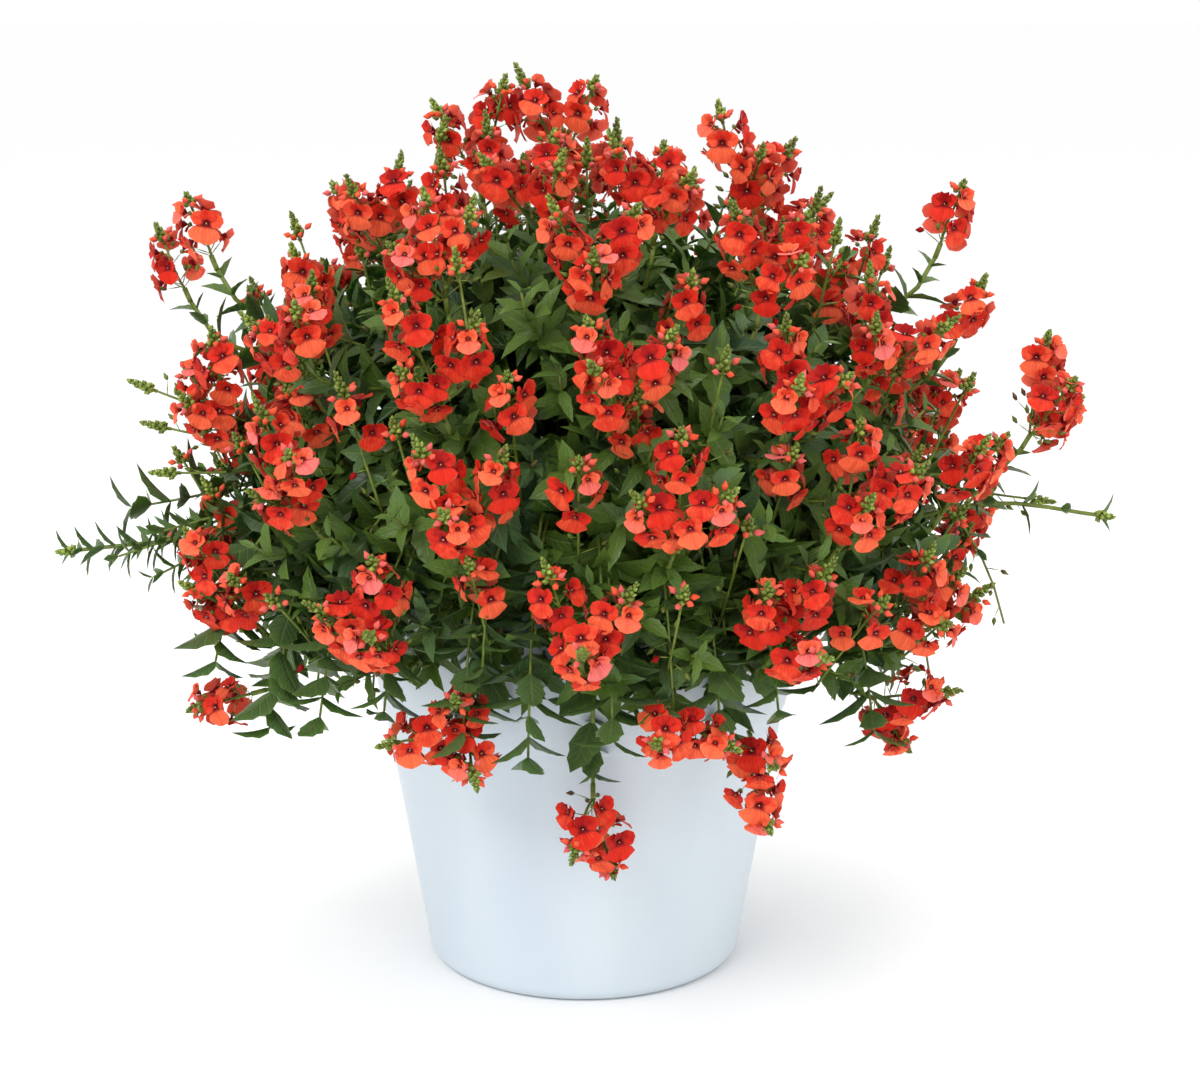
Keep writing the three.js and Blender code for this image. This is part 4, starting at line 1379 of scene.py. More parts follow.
@dataclass
class LooseRacemes:
    """Single racemes that fill the spaces between the bunches, some of them only in bud."""

    bunches: Sequence[Bunch]
    tries: int = 460
    sectors: int = 4
    clear: float = 33
    lowest_lean: float = 88
    stalk: float = 62
    reach_steps: tuple[tuple[float, float], ...] = ((0, 276), (35, 262), (67, 250), (86, 236), (95, 224))
    shortest_reach: float = 0.88
    pods: int = 4
    flower_counts: tuple[int, ...] = (0, 0, 4, 6, 7)
    seed: int = 83

    def heads(self, draw: random.Random) -> list[tuple[float, Head]]:
        """Finds free places over the mound.

        Args:
            draw: The draws that vary their reach.

        Returns:
            The turn and the head of each.
        """
        taken = [head.point for plan in self.bunches for head in plan.heads]
        found = []
        lowest = math.cos(math.radians(self.lowest_lean))
        for i in range(self.tries):
            lean = math.degrees(math.acos(1 - (1 - lowest) * (i + 0.5) / self.tries))
            turn = i * GOLDEN_ANGLE % 360
            reach = stepped(self.reach_steps, lean) * draw.uniform(self.shortest_reach, 1.0)
            point = mound_point(turn, lean, reach)
            if min((point - other).length for other in taken) < self.clear:
                continue
            taken.append(point)
            found.append((turn, Head(point, direction(turn, stepped(STALK_LEAN_STEPS, lean)))))
        return found

    def build(self, shapes: Shapes, finishes: "Finishes") -> None:
        """Grows the racemes in sectors, each as a piece of petals and a piece of stalks.

        Args:
            shapes: The shapes to repeat.
            finishes: The object's materials.
        """
        draw = random.Random(self.seed)
        petals = [Gathering() for _ in range(self.sectors)]
        greens = [Gathering() for _ in range(self.sectors)]
        for turn, head in self.heads(draw):
            sector = int(turn / 360 * self.sectors)
            foot = head.point - head.axis * self.stalk - UP * 8
            flowers = draw.choice(self.flower_counts)
            raceme = Raceme(foot, head, draw, flowers=flowers, pods=self.pods)
            raceme.grow(petals[sector], greens[sector], shapes)
        for i, (coral, green) in enumerate(zip(petals, greens)):
            nodes = ["leafy_bush"]
            coral.finish(
                f"loose_racemes_{i + 1}_petals", "coral_petals", nodes, [finishes.petal, finishes.pollen]
            )
            green.finish(f"loose_racemes_{i + 1}_stalks", "green_leaves", nodes, [finishes.stalk])


@dataclass
class TrailingStem:
    """A stem that rises beside the pot's wall, crosses the rim and ends in a bunch or in buds."""

    name: str
    last: Sequence[Vector]
    seed: int
    slim_share: float = 0.3
    buds: bool = False
    first: float = 0.3
    spacing: float = 14
    largest: float = 1.15
    foot_ring: float = 101
    shoulder_ring: float = 115
    crest_ring: float = 150
    foot: float = 190
    collar: float = 224
    shoulder: float = 247
    crest: float = 255

    def build(self, shapes: Shapes, finishes: "Finishes") -> None:
        """Grows the stem with its leaves, and buds at its tip where it has them.

        Args:
            shapes: The shapes to repeat.
            finishes: The object's materials.
        """
        draw = random.Random(self.seed)
        end = self.last[-1]
        turn = math.degrees(math.atan2(end.y, end.x))
        way = direction(turn, 90)
        knots = [
            way * self.foot_ring + UP * self.foot,
            way * self.foot_ring + UP * self.collar,
            way * self.shoulder_ring + UP * self.shoulder,
            way * self.crest_ring + UP * self.crest,
            *self.last,
        ]
        greens = Gathering()
        line = through(knots, 4)
        LeafyStem(
            line, draw, first=self.first, last=0.97, spacing=self.spacing, largest=self.largest,
            slim_share=self.slim_share, radius=1.6, tip_radius=1.2,
        ).grow(greens, shapes)
        if self.buds:
            tip, out = along(line, 0.96)
            greens.add(recoloured(shapes.spires[0], 1), basis(out, UP, tip), 0.1)
        greens.finish(f"{self.name}_shoot", "green_leaves", [self.name], [finishes.leaf, finishes.stalk])


@dataclass
class GrowingPot:
    """The tapered pot with its rounded foot, its upper band and its rolled lip."""

    height: float = 236
    foot_radius: float = 93
    foot_round: float = 9
    taper: float = 0.172
    wall: float = 2.6
    floor: float = 3
    band_bottom: float = 156
    band_proud: float = 1.4
    lip_height: float = 9
    lip_proud: float = 1.8
    steps: int = 128
    drain_count: int = 4
    drain_radius: float = 6
    drain_ring: float = 62
    drain_turn: float = 18

    def wall_at(self, height: float) -> float:
        """The outer radius of the wall at a height."""
        return self.foot_radius + (height - self.foot_round) * self.taper

    def profile(self) -> list[Vector]:
        """The outline of the wall from the axis below to the axis above the floor.

        Returns:
            The points of the outline.
        """
        arc = [
            Vector((
                self.foot_radius - self.foot_round * (1 - math.sin(angle)),
                0,
                self.foot_round * (1 - math.cos(angle)),
            ))
            for angle in (i / 6 * math.radians(84) for i in range(7))
        ]
        # Up the wall, over the band's step and the rolled lip, and down inside to the floor
        lip_bottom = self.height - self.lip_height
        proud = self.wall_at(self.height) + self.band_proud + self.lip_proud
        outer = [
            (self.wall_at(self.foot_round * 1.2), self.foot_round * 1.2),
            (self.wall_at(60), 60),
            (self.wall_at(110), 110),
            (self.wall_at(self.band_bottom - 0.8), self.band_bottom - 0.8),
            (self.wall_at(self.band_bottom) + self.band_proud * 0.3, self.band_bottom),
            (self.wall_at(self.band_bottom) + self.band_proud, self.band_bottom + 1.2),
            (self.wall_at(190) + self.band_proud, 190),
            (self.wall_at(lip_bottom - 0.8) + self.band_proud, lip_bottom - 0.8),
            (self.wall_at(lip_bottom) + self.band_proud + 0.6, lip_bottom + 0.2),
            (proud - 0.5, lip_bottom + 1.3),
            (proud, lip_bottom + 2.6),
            (proud, self.height - 2.2),
            (proud - 0.7, self.height - 0.6),
            (proud - 2.2, self.height),
            (self.wall_at(self.height) - self.wall + 0.8, self.height - 0.1),
            (self.wall_at(self.height) - self.wall, self.height - 1.2),
            (self.foot_radius - self.wall, self.foot_round),
            (self.foot_radius - self.wall - 1.6, self.floor + 1.6),
            (self.foot_radius - self.wall - 5.4, self.floor),
            (0, self.floor),
        ]
        return [Vector((0, 0, 0)), *arc, *(Vector((radius, 0, z)) for radius, z in outer)]

    def build(self, finishes: "Finishes") -> None:
        """Spins the wall, bores the drainage holes and dresses the pot.

        Args:
            finishes: The object's materials.
        """
        drilled = self.drilled(shape_from(spun(self.profile(), self.steps), "pot_shell"))
        drilled.transform(Matrix.Scale(MM, 4))
        carry(drilled, ["pot"], [finishes.pot])

    def drilled(self, shell: bpy.types.Mesh) -> bpy.types.Mesh:
        """Bores the drainage holes through the floor.

        Args:
            shell: The whole pot.

        Returns:
            The pot with its holes.
        """
        cutter = bmesh.new()
        for i in range(self.drain_count):
            centre = direction(i * 360 / self.drain_count + self.drain_turn, 90) * self.drain_ring
            bmesh.ops.create_cone(
                cutter, cap_ends=True, segments=32, radius1=self.drain_radius, radius2=self.drain_radius,
                depth=self.floor * 4, matrix=Matrix.Translation(centre),
            )
        cutter_mesh = bpy.data.meshes.new("drill")
        cutter.to_mesh(cutter_mesh)
        cutter.free()
        drill = bpy.data.objects.new("drill", cutter_mesh)
        body = bpy.data.objects.new("pot_shell", shell)
        for part in (drill, body):
            bpy.context.scene.collection.objects.link(part)
        bore = body.modifiers.new("bore", "BOOLEAN")
        bore.operation = "DIFFERENCE"
        bore.solver = "EXACT"
        bore.object = drill
        graph = bpy.context.evaluated_depsgraph_get()
        made = bpy.data.meshes.new_from_object(body.evaluated_get(graph))
        made.name = "growing_pot"
        for part in (drill, body):
            bpy.data.objects.remove(part)
        return made


@dataclass
class Soil:
    """The potting soil: a lumpy filling with crumbs of peat and bark on it."""

    edge: float = 216
    crown: float = 222
    wall_gap: float = 3.0
    rings: int = 30
    steps: int = 96
    lump: float = 1.6
    crumbs: int = 420
    smallest_crumb: tuple[float, float, float] = (1.0, 0.8, 0.6)
    largest_crumb: tuple[float, float, float] = (3.6, 2.2, 1.4)
    seed: int = 19

    def top_at(self, point: Vector, ring: float) -> float:
        """The height of the soil's surface at a point.

        Args:
            point: The point, of which only the place from above counts.
            ring: The soil's outer radius.

        Returns:
            The height.
        """
        share = point.xy.length / ring
        level = self.edge + (self.crown - self.edge) * (1 - share**3)
        rough = noise.noise(point * 0.11) * self.lump + noise.noise(point * 0.4) * self.lump * 0.5
        return level + rough * (1 - share**8)

    def build(self, pot: GrowingPot, finishes: "Finishes") -> None:
        """Spins the filling, roughens its top, scatters the crumbs and dresses the soil.

        Args:
            pot: The pot that it fills.
            finishes: The object's materials.
        """
        draw = random.Random(self.seed)
        ring = pot.wall_at(self.edge) - self.wall_gap
        below = [
            Vector((0, 0, pot.floor + 0.3)),
            Vector((pot.foot_radius - self.wall_gap - 5.4, 0, pot.floor + 0.3)),
            Vector((pot.foot_radius - self.wall_gap, 0, pot.foot_round + 0.3)),
        ]
        above = [Vector((ring * (1 - i / self.rings), 0, self.edge)) for i in range(self.rings + 1)]
        mesh = spun([*below, *above], self.steps)
        for vert in mesh.verts:
            if vert.co.z > self.edge - 1:
                vert.co.z = self.top_at(vert.co, ring)
        filling = Gathering()
        filling.add(shape_from(mesh, "filling"), Matrix.Identity(4), 0.3)
        crumb_mesh = new_mesh()
        bmesh.ops.create_icosphere(crumb_mesh, subdivisions=1, radius=1.0)
        crumb = shape_from(crumb_mesh, "crumb")
        for i in range(self.crumbs):
            reach = ring * 0.97 * math.sqrt((i + 0.5) / self.crumbs)
            point = direction(i * GOLDEN_ANGLE, 90) * reach
            point.z = self.top_at(point, ring)
            size = [draw.uniform(low, high) for low, high in zip(self.smallest_crumb, self.largest_crumb)]
            turned = basis(direction(draw.uniform(0, 360), draw.uniform(0, 30)), UP, point)
            place = turned @ Matrix.Rotation(draw.uniform(0, 6), 4, "Z") @ Matrix.Diagonal((*size, 1))
            filling.add(crumb, place, draw.uniform(0.0, 0.9))
        filling.finish("peat_filling", "potting_soil", ["soil"], [finishes.soil])


class Graph:
    """A node tree with short ways to add nodes and join them."""

    def __init__(self, tree: bpy.types.NodeTree) -> None:
        """Takes the tree and empties it."""
        self.tree = tree
        self.tree.nodes.clear()

    def node(self, kind: str, **settings: object) -> bpy.types.Node:
        """Adds a node.

        Args:
            kind: Its type, without the common first word.
            settings: Its own settings by name.

        Returns:
            The node.
        """
        made = self.tree.nodes.new(f"ShaderNode{kind}")
        for name, value in settings.items():
            setattr(made, name, value)
        return made

    def put(self, value: object, socket: bpy.types.NodeSocket) -> None:
        """Feeds a socket from another socket, or sets its plain value.

        Args:
            value: The other socket or the plain value.
            socket: The socket that it feeds.
        """
        if isinstance(value, bpy.types.NodeSocket):
            self.tree.links.new(value, socket)
        else:
            socket.default_value = value

    def math(self, operation: str, first: object, second: object = 0.0, clamp: bool = False) -> object:
        """A sum or other operation on two values, as a socket.

        Args:
            operation: The operation.
            first: Its first value.
            second: Its second value.
            clamp: Whether the outcome is held between 0 and 1.

        Returns:
            The outcome's socket.
        """
        made = self.node("Math", operation=operation, use_clamp=clamp)
        self.put(first, made.inputs[0])
        self.put(second, made.inputs[1])
        return made.outputs[0]

    def remap(
        self, value: object, low: float, high: float, to_low: float = 0.0, to_high: float = 1.0
    ) -> object:
        """A value moved from one range to another and held inside it, as a socket.

        Args:
            value: The value.
            low: The start of its range.
            high: The end of its range.
            to_low: What the start becomes.
            to_high: What the end becomes.

        Returns:
            The outcome's socket.
        """
        made = self.node("MapRange", interpolation_type="SMOOTHSTEP")
        self.put(value, made.inputs["Value"])
        self.put(low, made.inputs["From Min"])
        self.put(high, made.inputs["From Max"])
        self.put(to_low, made.inputs["To Min"])
        self.put(to_high, made.inputs["To Max"])
        return made.outputs["Result"]

    def mix(self, share: object, first: object, second: object, blend: str = "MIX") -> object:
        """Two colours mixed by a share, as a socket.

        Args:
            share: The share of the second colour.
            first: The first colour.
            second: The second colour.
            blend: How they are blended.

        Returns:
            The outcome's socket.
        """
        made = self.node("Mix", data_type="RGBA", blend_type=blend)
        self.put(share, made.inputs[0])
        self.put(first, made.inputs[6])
        self.put(second, made.inputs[7])
        return made.outputs[2]

    def bump(
        self, shader: bpy.types.Node, height: object, strength: float, depth: float, sunk: bool = False
    ) -> None:
        """Gives a shader fine relief.

        Args:
            shader: The shader.
            height: The relief's height, as a socket.
            strength: How strongly it shows.
            depth: Its depth in metres.
            sunk: Whether it is sunk and not raised.
        """
        made = self.node("Bump", invert=sunk)
        made.inputs["Strength"].default_value = strength
        made.inputs["Distance"].default_value = depth
        self.put(height, made.inputs["Height"])
        self.put(made.outputs["Normal"], shader.inputs["Normal"])

    def attribute(self, name: str) -> object:
        """A value that the mesh carries, as a socket."""
        return self.node("Attribute", attribute_name=name).outputs["Fac"]

    def group(self, tree: bpy.types.NodeTree, **values: object) -> bpy.types.Node:
        """Adds a shared effect with its own values.

        Args:
            tree: The effect.
            values: Its inputs by name, with _ for a space.

        Returns:
            The effect's node.
        """
        made = self.node("Group", node_tree=tree)
        for name, value in values.items():
            self.put(value, made.inputs[name.replace("_", " ")])
        return made


class Socket(Enum):
    """The kinds of socket that a shared effect has."""

    VALUE = "NodeSocketFloat"
    COLOUR = "NodeSocketColor"
    VECTOR = "NodeSocketVector"


def effect(name: str, takes: dict[str, Socket], gives: dict[str, Socket]) -> tuple[Graph, dict, dict]:
    """Starts a shared effect.

    Args:
        name: Its name.
        takes: Its inputs.
        gives: Its outputs.

    Returns:
        Its graph, its inputs' sockets and its outputs' sockets, by name.
    """
    tree = bpy.data.node_groups.new(name, "ShaderNodeTree")
    for label, kind in takes.items():
        tree.interface.new_socket(label, in_out="INPUT", socket_type=kind.value)
    for label, kind in gives.items():
        tree.interface.new_socket(label, in_out="OUTPUT", socket_type=kind.value)
    graph = Graph(tree)
    entry = tree.nodes.new("NodeGroupInput")
    leaving = tree.nodes.new("NodeGroupOutput")
    return graph, {label: entry.outputs[label] for label in takes}, {
        label: leaving.inputs[label] for label in gives
    }


def mottling() -> bpy.types.NodeTree:
    """Soft blotches over a surface, from 0 to 1.

    Returns:
        The effect's tree.
    """
    graph, given, result = effect(
        "mottling", {"Vector": Socket.VECTOR, "Scale": Socket.VALUE, "Detail": Socket.VALUE},
        {"Value": Socket.VALUE},
    )
    blotch = graph.node("TexNoise", noise_dimensions="3D")
    graph.put(given["Vector"], blotch.inputs["Vector"])
    graph.put(given["Scale"], blotch.inputs["Scale"])
    graph.put(given["Detail"], blotch.inputs["Detail"])
    graph.put(graph.remap(blotch.outputs["Fac"], 0.3, 0.7), result["Value"])
    return graph.tree


def veining() -> bpy.types.NodeTree:
    """The midrib and the side veins of a leaf, or the fine lines of a petal, from its own map.

    Returns:
        The effect's tree.
    """
    graph, given, result = effect(
        "veining",
        {"Map": Socket.VECTOR, "Count": Socket.VALUE, "Slant": Socket.VALUE, "Midrib": Socket.VALUE},
        {"Midrib": Socket.VALUE, "Veins": Socket.VALUE},
    )
    split = graph.node("SeparateXYZ")
    graph.put(given["Map"], split.inputs[0])
    centred = graph.math("SUBTRACT", split.outputs["X"], 0.5)
    side = graph.math("MULTIPLY", graph.math("ABSOLUTE", centred), 2.0)
    rib = graph.math("SUBTRACT", 1.0, graph.math("DIVIDE", side, given["Midrib"]), clamp=True)
    graph.put(rib, result["Midrib"])
    run = graph.math("SUBTRACT", split.outputs["Y"], graph.math("MULTIPLY", side, given["Slant"]))
    turns = graph.math("MULTIPLY", run, given["Count"])
    wave = graph.math("SINE", graph.math("MULTIPLY", turns, 2 * math.pi))
    line = graph.remap(wave, 0.72, 1.0)
    graph.put(graph.math("MULTIPLY", line, graph.remap(side, 1.0, 0.7)), result["Veins"])
    return graph.tree


def toning() -> bpy.types.NodeTree:
    """A colour between dark, middle and light by the tone that the mesh carries.

    Returns:
        The effect's tree.
    """
    graph, given, result = effect(
        "toning",
        {
            "Tone": Socket.VALUE, "Dark": Socket.COLOUR, "Middle": Socket.COLOUR, "Light": Socket.COLOUR,
        },
        {"Colour": Socket.COLOUR},
    )
    low = graph.mix(graph.remap(given["Tone"], 0.0, 0.5), given["Dark"], given["Middle"])
    graph.put(graph.mix(graph.remap(given["Tone"], 0.5, 1.0), low, given["Light"]), result["Colour"])
    return graph.tree


Colour = tuple[float, float, float, float]


@dataclass(frozen=True)
class SurfaceBase:
    """What every finish sets on its shader."""

    roughness: float
    specular: float = 0.5
    subsurface: float = 0.0
    subsurface_radius: tuple[float, float, float] = (1.0, 0.4, 0.2)
    subsurface_scale: float = 0.002
    sheen: float = 0.0

    def start(self, name: str) -> tuple[bpy.types.Material, Graph, bpy.types.Node]:
        """Makes the material, its graph and its shader.

        Args:
            name: The material's name.

        Returns:
            The material, its graph and the shader's node.
        """
        material = bpy.data.materials.new(name)
        material.use_nodes = True
        graph = Graph(material.node_tree)
        shader = graph.node("BsdfPrincipled")
        shader.inputs["Roughness"].default_value = self.roughness
        shader.inputs["Specular IOR Level"].default_value = self.specular
        shader.inputs["Subsurface Weight"].default_value = self.subsurface
        shader.inputs["Subsurface Radius"].default_value = self.subsurface_radius
        shader.inputs["Subsurface Scale"].default_value = self.subsurface_scale
        shader.inputs["Sheen Weight"].default_value = self.sheen
        output = graph.node("OutputMaterial")
        graph.put(shader.outputs[0], output.inputs["Surface"])
        return material, graph, shader


@dataclass(frozen=True)
class PetalFinish:
    """Coral petals, deep red towards a dark throat, paler behind."""

    dark: Colour = (0.30, 0.004, 0.004, 1)
    middle: Colour = (0.66, 0.022, 0.009, 1)
    light: Colour = (0.93, 0.135, 0.052, 1)
    throat: Colour = (0.19, 0.004, 0.009, 1)
    behind: Colour = (0.84, 0.15, 0.10, 1)
    young: Colour = (0.80, 0.16, 0.145, 1)
    streaks: float = 46.0
    relief: float = 0.25
    relief_depth: float = 0.0004
    surface: SurfaceBase = SurfaceBase(0.62, 0.12, 0.2, (1.0, 0.15, 0.1), 0.002, 0.02)

    def make(self, effects: "Effects") -> bpy.types.Material:
        """The petals' material.

        Args:
            effects: The shared effects.

        Returns:
            The material.
        """
        material, graph, shader = self.surface.start("coral_petal")
        chart = graph.node("UVMap", uv_map="UVMap").outputs["UV"]
        spots = effects.spots(graph, 260.0, 2.0)
        lines = graph.group(effects.veining, Map=chart, Count=0.0, Slant=0.0, Midrib=0.2)
        tone = graph.math("ADD", graph.attribute("tone"), graph.math("MULTIPLY", spots, 0.16))
        colour = effects.toned(graph, tone, self.dark, self.middle, self.light)
        colour = graph.mix(graph.remap(tone, 1.05, 1.6), colour, self.young)
        split = graph.node("SeparateXYZ")
        graph.put(chart, split.inputs[0])
        outwards = split.outputs["Y"]
        fan = graph.math("SINE", graph.math("MULTIPLY", split.outputs["X"], self.streaks))
        fading = graph.remap(outwards, 0.9, 0.2, 0.0, 0.35)
        colour = graph.mix(graph.math("MULTIPLY", graph.remap(fan, 0.2, 1.0), fading), colour, self.dark)
        colour = graph.mix(graph.math("MULTIPLY", lines.outputs["Midrib"], 0.25), colour, self.dark)
        colour = graph.mix(graph.math("MULTIPLY", graph.attribute("back"), 0.6), colour, self.behind)
        colour = graph.mix(graph.remap(outwards, 0.3, 0.05), colour, self.throat)
        graph.put(colour, shader.inputs["Base Color"])
        ridges = graph.math("ADD", graph.math("MULTIPLY", fan, 0.5), spots)
        graph.bump(shader, ridges, self.relief, self.relief_depth)
        return material


@dataclass(frozen=True)
class LeafFinish:
    """Deep green toothed leaves with paler ribs, a paler underside and blotches of bluish painted sheen."""

    dark: Colour = (0.005, 0.015, 0.003, 1)
    middle: Colour = (0.016, 0.045, 0.005, 1)
    light: Colour = (0.08, 0.15, 0.02, 1)
    # Bluish grey of a painted sheen: the light's reflection on the leaves, painted into their colour
    painted_sheen_colour: Colour = (0.045, 0.105, 0.06, 1)
    rib: Colour = (0.15, 0.22, 0.065, 1)
    under: Colour = (0.07, 0.115, 0.045, 1)
    base_tone: float = 0.5
    relief: float = 0.6
    relief_depth: float = 0.0006
    surface: SurfaceBase = SurfaceBase(0.42, 0.28, 0.08, (0.4, 1.0, 0.1), 0.0015)

    def make(self, effects: "Effects") -> bpy.types.Material:
        """The leaves' material.

        Args:
            effects: The shared effects.

        Returns:
            The material.
        """
        material, graph, shader = self.surface.start("twinspur_leaf")
        chart = graph.node("UVMap", uv_map="UVMap").outputs["UV"]
        spots = effects.spots(graph, 90.0, 3.0)
        veins = graph.group(effects.veining, Map=chart, Count=6.0, Slant=0.22, Midrib=0.16)
        blotched = graph.math("ADD", graph.math("MULTIPLY", spots, 0.3), self.base_tone)
        tone = graph.math("ADD", graph.attribute("tone"), blotched)
        colour = effects.toned(graph, tone, self.dark, self.middle, self.light)
        # Large soft blotches of the bluish painted sheen, mixed into the leaf colour
        painted_sheen_mask = graph.remap(effects.spots(graph, 22.0, 1.0), 0.55, 1.0, 0.0, 0.55)
        colour = graph.mix(painted_sheen_mask, colour, self.painted_sheen_colour)
        colour = graph.mix(graph.math("MULTIPLY", graph.attribute("back"), 0.7), colour, self.under)
        colour = graph.mix(graph.math("MULTIPLY", veins.outputs["Veins"], 0.3), colour, self.rib)
        colour = graph.mix(graph.math("MULTIPLY", veins.outputs["Midrib"], 0.6), colour, self.rib)
        graph.put(colour, shader.inputs["Base Color"])
        graph.put(graph.remap(spots, 0.0, 1.0, 0.3, 0.46), shader.inputs["Roughness"])
        height = graph.math("ADD", veins.outputs["Veins"], veins.outputs["Midrib"])
        rough = graph.math("ADD", height, graph.math("MULTIPLY", spots, 0.4))
        graph.bump(shader, rough, self.relief, self.relief_depth, sunk=True)
        return material


@dataclass(frozen=True)
class StalkFinish:
    """Stalks, buds and seed pods, from brown through green to yellow green."""

    dark: Colour = (0.10, 0.035, 0.015, 1)
    middle: Colour = (0.13, 0.19, 0.022, 1)
    light: Colour = (0.33, 0.43, 0.075, 1)
    relief: float = 0.3
    relief_depth: float = 0.0003
    surface: SurfaceBase = SurfaceBase(0.5, 0.4, 0.1, (0.5, 1.0, 0.2), 0.001)

    def make(self, effects: "Effects") -> bpy.types.Material:
        """The stalks' material.

        Args:
            effects: The shared effects.

        Returns:
            The material.
        """
        material, graph, shader = self.surface.start("green_stalk")
        spots = effects.spots(graph, 240.0, 2.0)
        tone = graph.math("ADD", graph.attribute("tone"), graph.math("MULTIPLY", spots, 0.35))
        colour = effects.toned(graph, tone, self.dark, self.middle, self.light)
        graph.put(colour, shader.inputs["Base Color"])
        graph.put(graph.remap(spots, 0.0, 1.0, 0.42, 0.6), shader.inputs["Roughness"])
        graph.bump(shader, spots, self.relief, self.relief_depth)
        return material


@dataclass(frozen=True)
class PollenFinish:
    """The pale anthers in the throat."""

    pale: Colour = (0.78, 0.52, 0.26, 1)
    deep: Colour = (0.5, 0.2, 0.07, 1)
    surface: SurfaceBase = SurfaceBase(0.7, 0.3)

    def make(self, effects: "Effects") -> bpy.types.Material:
        """The anthers' material.

        Args:
            effects: The shared effects.

        Returns:
            The material.
        """
        material, graph, shader = self.surface.start("pollen")
        spots = effects.spots(graph, 900.0, 1.0)
        graph.put(graph.mix(spots, self.deep, self.pale), shader.inputs["Base Color"])
        return material


@dataclass(frozen=True)
class PotFinish:
    """Smooth pale plastic with faint flow marks."""

    shade: Colour = (0.54, 0.62, 0.69, 1)
    pale: Colour = (0.61, 0.685, 0.735, 1)
    relief: float = 0.08
    relief_depth: float = 0.0003
    surface: SurfaceBase = SurfaceBase(0.38, 0.45, 0.12, (1.0, 1.0, 1.0), 0.004)

    def make(self, effects: "Effects") -> bpy.types.Material:
        """The pot's material.

        Args:
            effects: The shared effects.

        Returns:
            The material.
        """
        material, graph, shader = self.surface.start("pale_plastic")
        stretch = graph.node("Mapping")
        stretch.inputs["Scale"].default_value = (1.0, 1.0, 0.25)
        graph.put(graph.node("TexCoord").outputs["Object"], stretch.inputs["Vector"])
        flow = graph.group(effects.mottling, Vector=stretch.outputs[0], Scale=9.0, Detail=3.0)
        drift = flow.outputs["Value"]
        fine = effects.spots(graph, 420.0, 2.0)
        graph.put(graph.mix(drift, self.shade, self.pale), shader.inputs["Base Color"])
        graph.put(graph.remap(drift, 0.0, 1.0, 0.32, 0.44), shader.inputs["Roughness"])
        graph.bump(shader, graph.math("ADD", fine, drift), self.relief, self.relief_depth)
        return material


@dataclass(frozen=True)
class SoilFinish:
    """Dark moist peat with paler bark crumbs."""

    dark: Colour = (0.012, 0.008, 0.005, 1)
    middle: Colour = (0.035, 0.022, 0.014, 1)
    light: Colour = (0.11, 0.07, 0.045, 1)
    relief: float = 0.9
    relief_depth: float = 0.0015
    surface: SurfaceBase = SurfaceBase(0.92, 0.25)

    def make(self, effects: "Effects") -> bpy.types.Material:
        """The soil's material.

        Args:
            effects: The shared effects.

        Returns:
            The material.
        """
        material, graph, shader = self.surface.start("peat")
        grit = effects.spots(graph, 320.0, 6.0)
        tone = graph.math("ADD", graph.attribute("tone"), graph.math("MULTIPLY", grit, 0.4))
        colour = effects.toned(graph, tone, self.dark, self.middle, self.light)
        graph.put(colour, shader.inputs["Base Color"])
        graph.bump(shader, grit, self.relief, self.relief_depth)
        return material


class Effects:
    """The effects that more than one finish uses."""

    def __init__(self) -> None:
        """Makes each effect once."""
        self.mottling = mottling()
        self.veining = veining()
        self.toning = toning()

    def spots(self, graph: Graph, scale: float, detail: float) -> object:
        """Blotches of one scale over a surface, as a socket."""
        place = graph.node("TexCoord").outputs["Object"]
        return graph.group(self.mottling, Vector=place, Scale=scale, Detail=detail).outputs["Value"]

    def toned(self, graph: Graph, tone: object, dark: Colour, middle: Colour, light: Colour) -> object:
        """The colour of a tone, as a socket."""
        made = graph.group(self.toning, Tone=tone, Dark=dark, Middle=middle, Light=light)
        return made.outputs["Colour"]


class Finishes:
    """The materials of the whole object."""

    def __init__(self) -> None:
        """Makes each material once."""
        effects = Effects()
        self.petal = PetalFinish().make(effects)
        self.pollen = PollenFinish().make(effects)
        self.leaf = LeafFinish().make(effects)
        self.stalk = StalkFinish().make(effects)
        self.pot = PotFinish().make(effects)
        self.soil = SoilFinish().make(effects)


@dataclass(frozen=True)
class Lamp:
    """One soft square lamp: its place and width in metres, and its power in watts."""

    name: str
    place: tuple[float, float, float]
    width: float
    power: float
    aim: tuple[float, float, float] = (0, 0, 0.3)

    def add(self) -> None:
        """Puts the lamp in the scene, turned to the plant."""
        lamp = bpy.data.lights.new(self.name, "AREA")
        lamp.size = self.width
        lamp.energy = self.power
        lit = bpy.data.objects.new(self.name, lamp)
        lit.location = self.place
        lit.rotation_mode = "QUATERNION"
        lit.rotation_quaternion = (Vector(self.aim) - Vector(self.place)).to_track_quat("-Z", "Y")
        bpy.context.scene.collection.objects.link(lit)


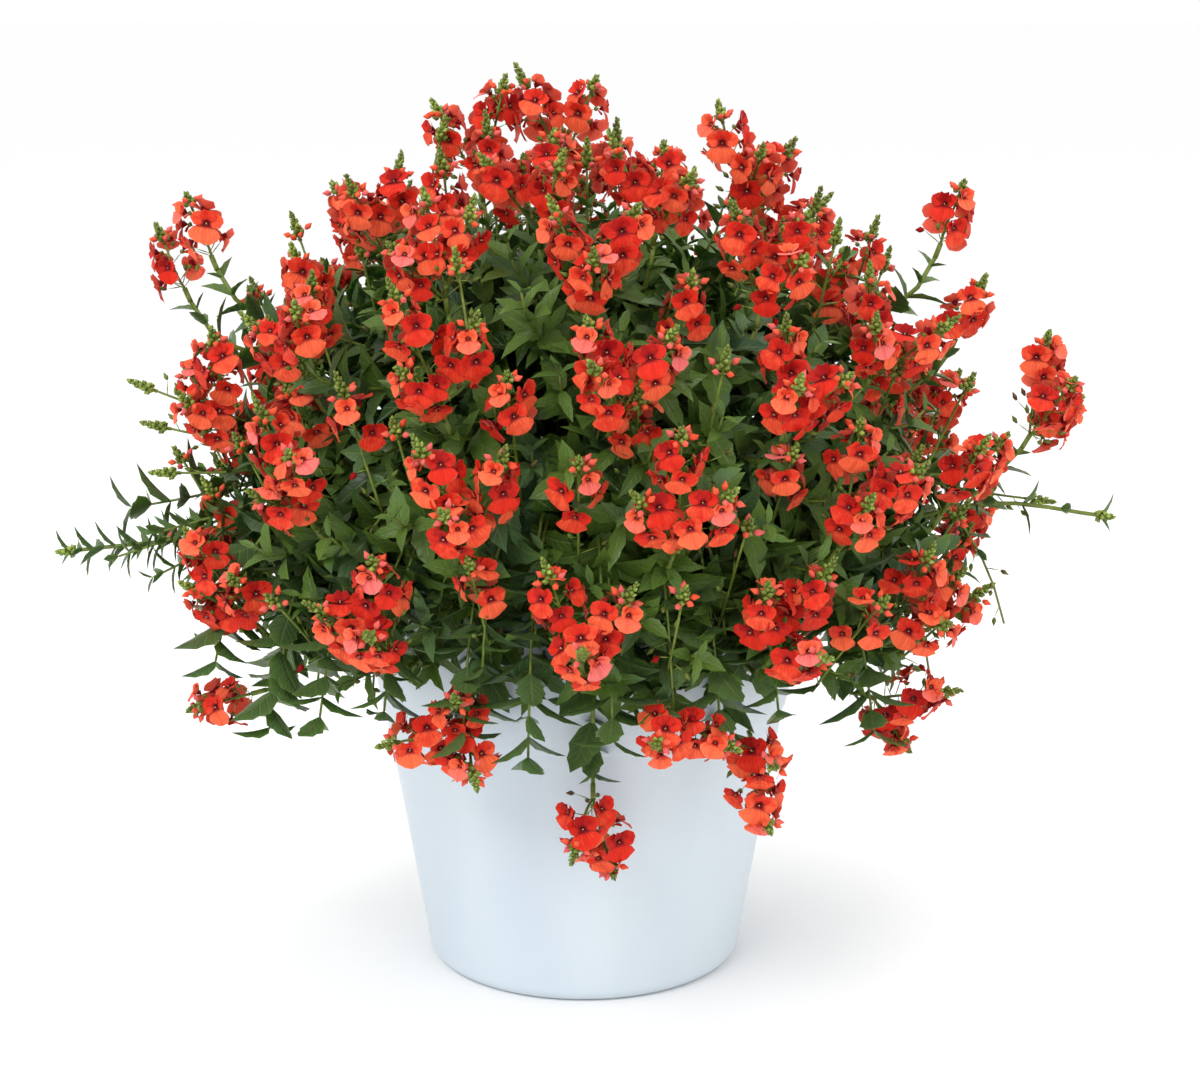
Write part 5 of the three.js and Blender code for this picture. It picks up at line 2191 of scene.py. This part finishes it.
@dataclass
class Studio:
    """The pale floor, the soft lights and the camera of the photograph."""

    camera: tuple[float, float, float] = (0.0095, -1.4, 0.566)
    pitch: float = 77.45
    lens: float = 73.68
    sensor: float = 36
    nearest: float = 0.05
    farthest: float = 40
    floor_size: float = 120.0
    floor_colour: Colour = (0.94, 0.94, 0.94, 1)
    world_strength: float = 1.05
    lamps: tuple[Lamp, ...] = (
        Lamp("key", (-1.1, -1.9, 2.1), 1.3, 36),
        Lamp("fill", (1.7, -1.5, 1.2), 1.6, 5),
        Lamp("top", (0.3, 0.5, 2.4), 1.3, 14),
    )

    def build(self) -> None:
        """Makes the floor, the world, the lights and the camera."""
        self.add_floor()
        self.add_world()
        for lamp in self.lamps:
            lamp.add()
        camera = bpy.data.cameras.new("camera")
        camera.lens = self.lens
        camera.sensor_width = self.sensor
        camera.clip_start = self.nearest
        camera.clip_end = self.farthest
        placed = bpy.data.objects.new("camera", camera)
        placed.location = self.camera
        placed.rotation_euler = (math.radians(self.pitch), 0, 0)
        bpy.context.scene.collection.objects.link(placed)
        bpy.context.scene.camera = placed

    def add_floor(self) -> None:
        """Adds the plain pale floor."""
        mesh = bmesh.new()
        bmesh.ops.create_grid(mesh, x_segments=1, y_segments=1, size=self.floor_size)
        made = bpy.data.meshes.new("floor")
        mesh.to_mesh(made)
        mesh.free()
        material, _, shader = SurfaceBase(0.9, 0.2).start("pale_floor")
        shader.inputs["Base Color"].default_value = self.floor_colour
        made.materials.append(material)
        floor = bpy.data.objects.new("floor", made)
        bpy.context.scene.collection.objects.link(floor)

    def add_world(self) -> None:
        """Adds the even white surroundings."""
        world = bpy.data.worlds.new("studio")
        world.use_nodes = True
        graph = Graph(world.node_tree)
        white = graph.node("Background")
        white.inputs["Color"].default_value = (1, 1, 1, 1)
        white.inputs["Strength"].default_value = self.world_strength
        graph.put(white.outputs[0], graph.node("OutputWorld").inputs["Surface"])
        bpy.context.scene.world = world


class Plant:
    """The twinspur plant with its bush, its trailing stems and its flowers."""

    stem_run: float = 8
    bend_run: float = 6
    bend_rise: float = 18

    def __init__(self) -> None:
        """Works out the places of the bunches."""
        self.bunches = [Bunch.from_row(row, FIRST_BUNCH_SEED + i) for i, row in enumerate(BUNCHES)]
        self.trailing = [Bunch.from_row(row, FIRST_TRAILING_SEED + i) for i, row in enumerate(TRAILING)]

    def build(self, shapes: Shapes, finishes: Finishes) -> None:
        """Grows the whole plant.

        Args:
            shapes: The shapes to repeat.
            finishes: The object's materials.
        """
        Bush(self.bunches).build(shapes, finishes)
        LooseRacemes([*self.bunches, *self.trailing]).build(shapes, finishes)
        for i, plan in enumerate(self.bunches):
            seed = FIRST_FLOWER_SEED + i
            FlowerBunch(f"flower_bunch_{i + 1:02d}", plan, seed).build(shapes, finishes)
        for i, plan in enumerate(self.trailing):
            seed = FIRST_TRAILING_FLOWER_SEED + i
            FlowerBunch(f"trailing_bunch_{i + 1}", plan, seed).build(shapes, finishes)
            near = plan.seat - plan.axis * self.stem_run
            above = near - plan.axis * self.bend_run + UP * self.bend_rise
            TrailingStem(
                f"trailing_stem_{i + 1}", [above, near, plan.seat], FIRST_TRAILING_STEM_SEED + i, largest=1.45
            ).build(shapes, finishes)
        for name, point, first, spacing in BUD_STEMS:
            tip = Vector(point)
            half = Vector((tip.x * 0.76, tip.y * 0.76, tip.z + 6))
            TrailingStem(
                name, [half, tip], BUD_STEM_SEED, slim_share=1.0, buds=True, first=first, spacing=spacing,
                largest=0.75,
            ).build(shapes, finishes)


def main() -> None:
    logging.basicConfig(level=logging.INFO, format="%(name)s: %(message)s")
    bpy.context.scene.view_settings.view_transform = "Standard"
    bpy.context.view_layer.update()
    shapes = Shapes()
    finishes = Finishes()
    pot = GrowingPot()
    pot.build(finishes)
    Soil().build(pot, finishes)
    Plant().build(shapes, finishes)
    Studio().build()


if __name__ == "__main__":
    main()
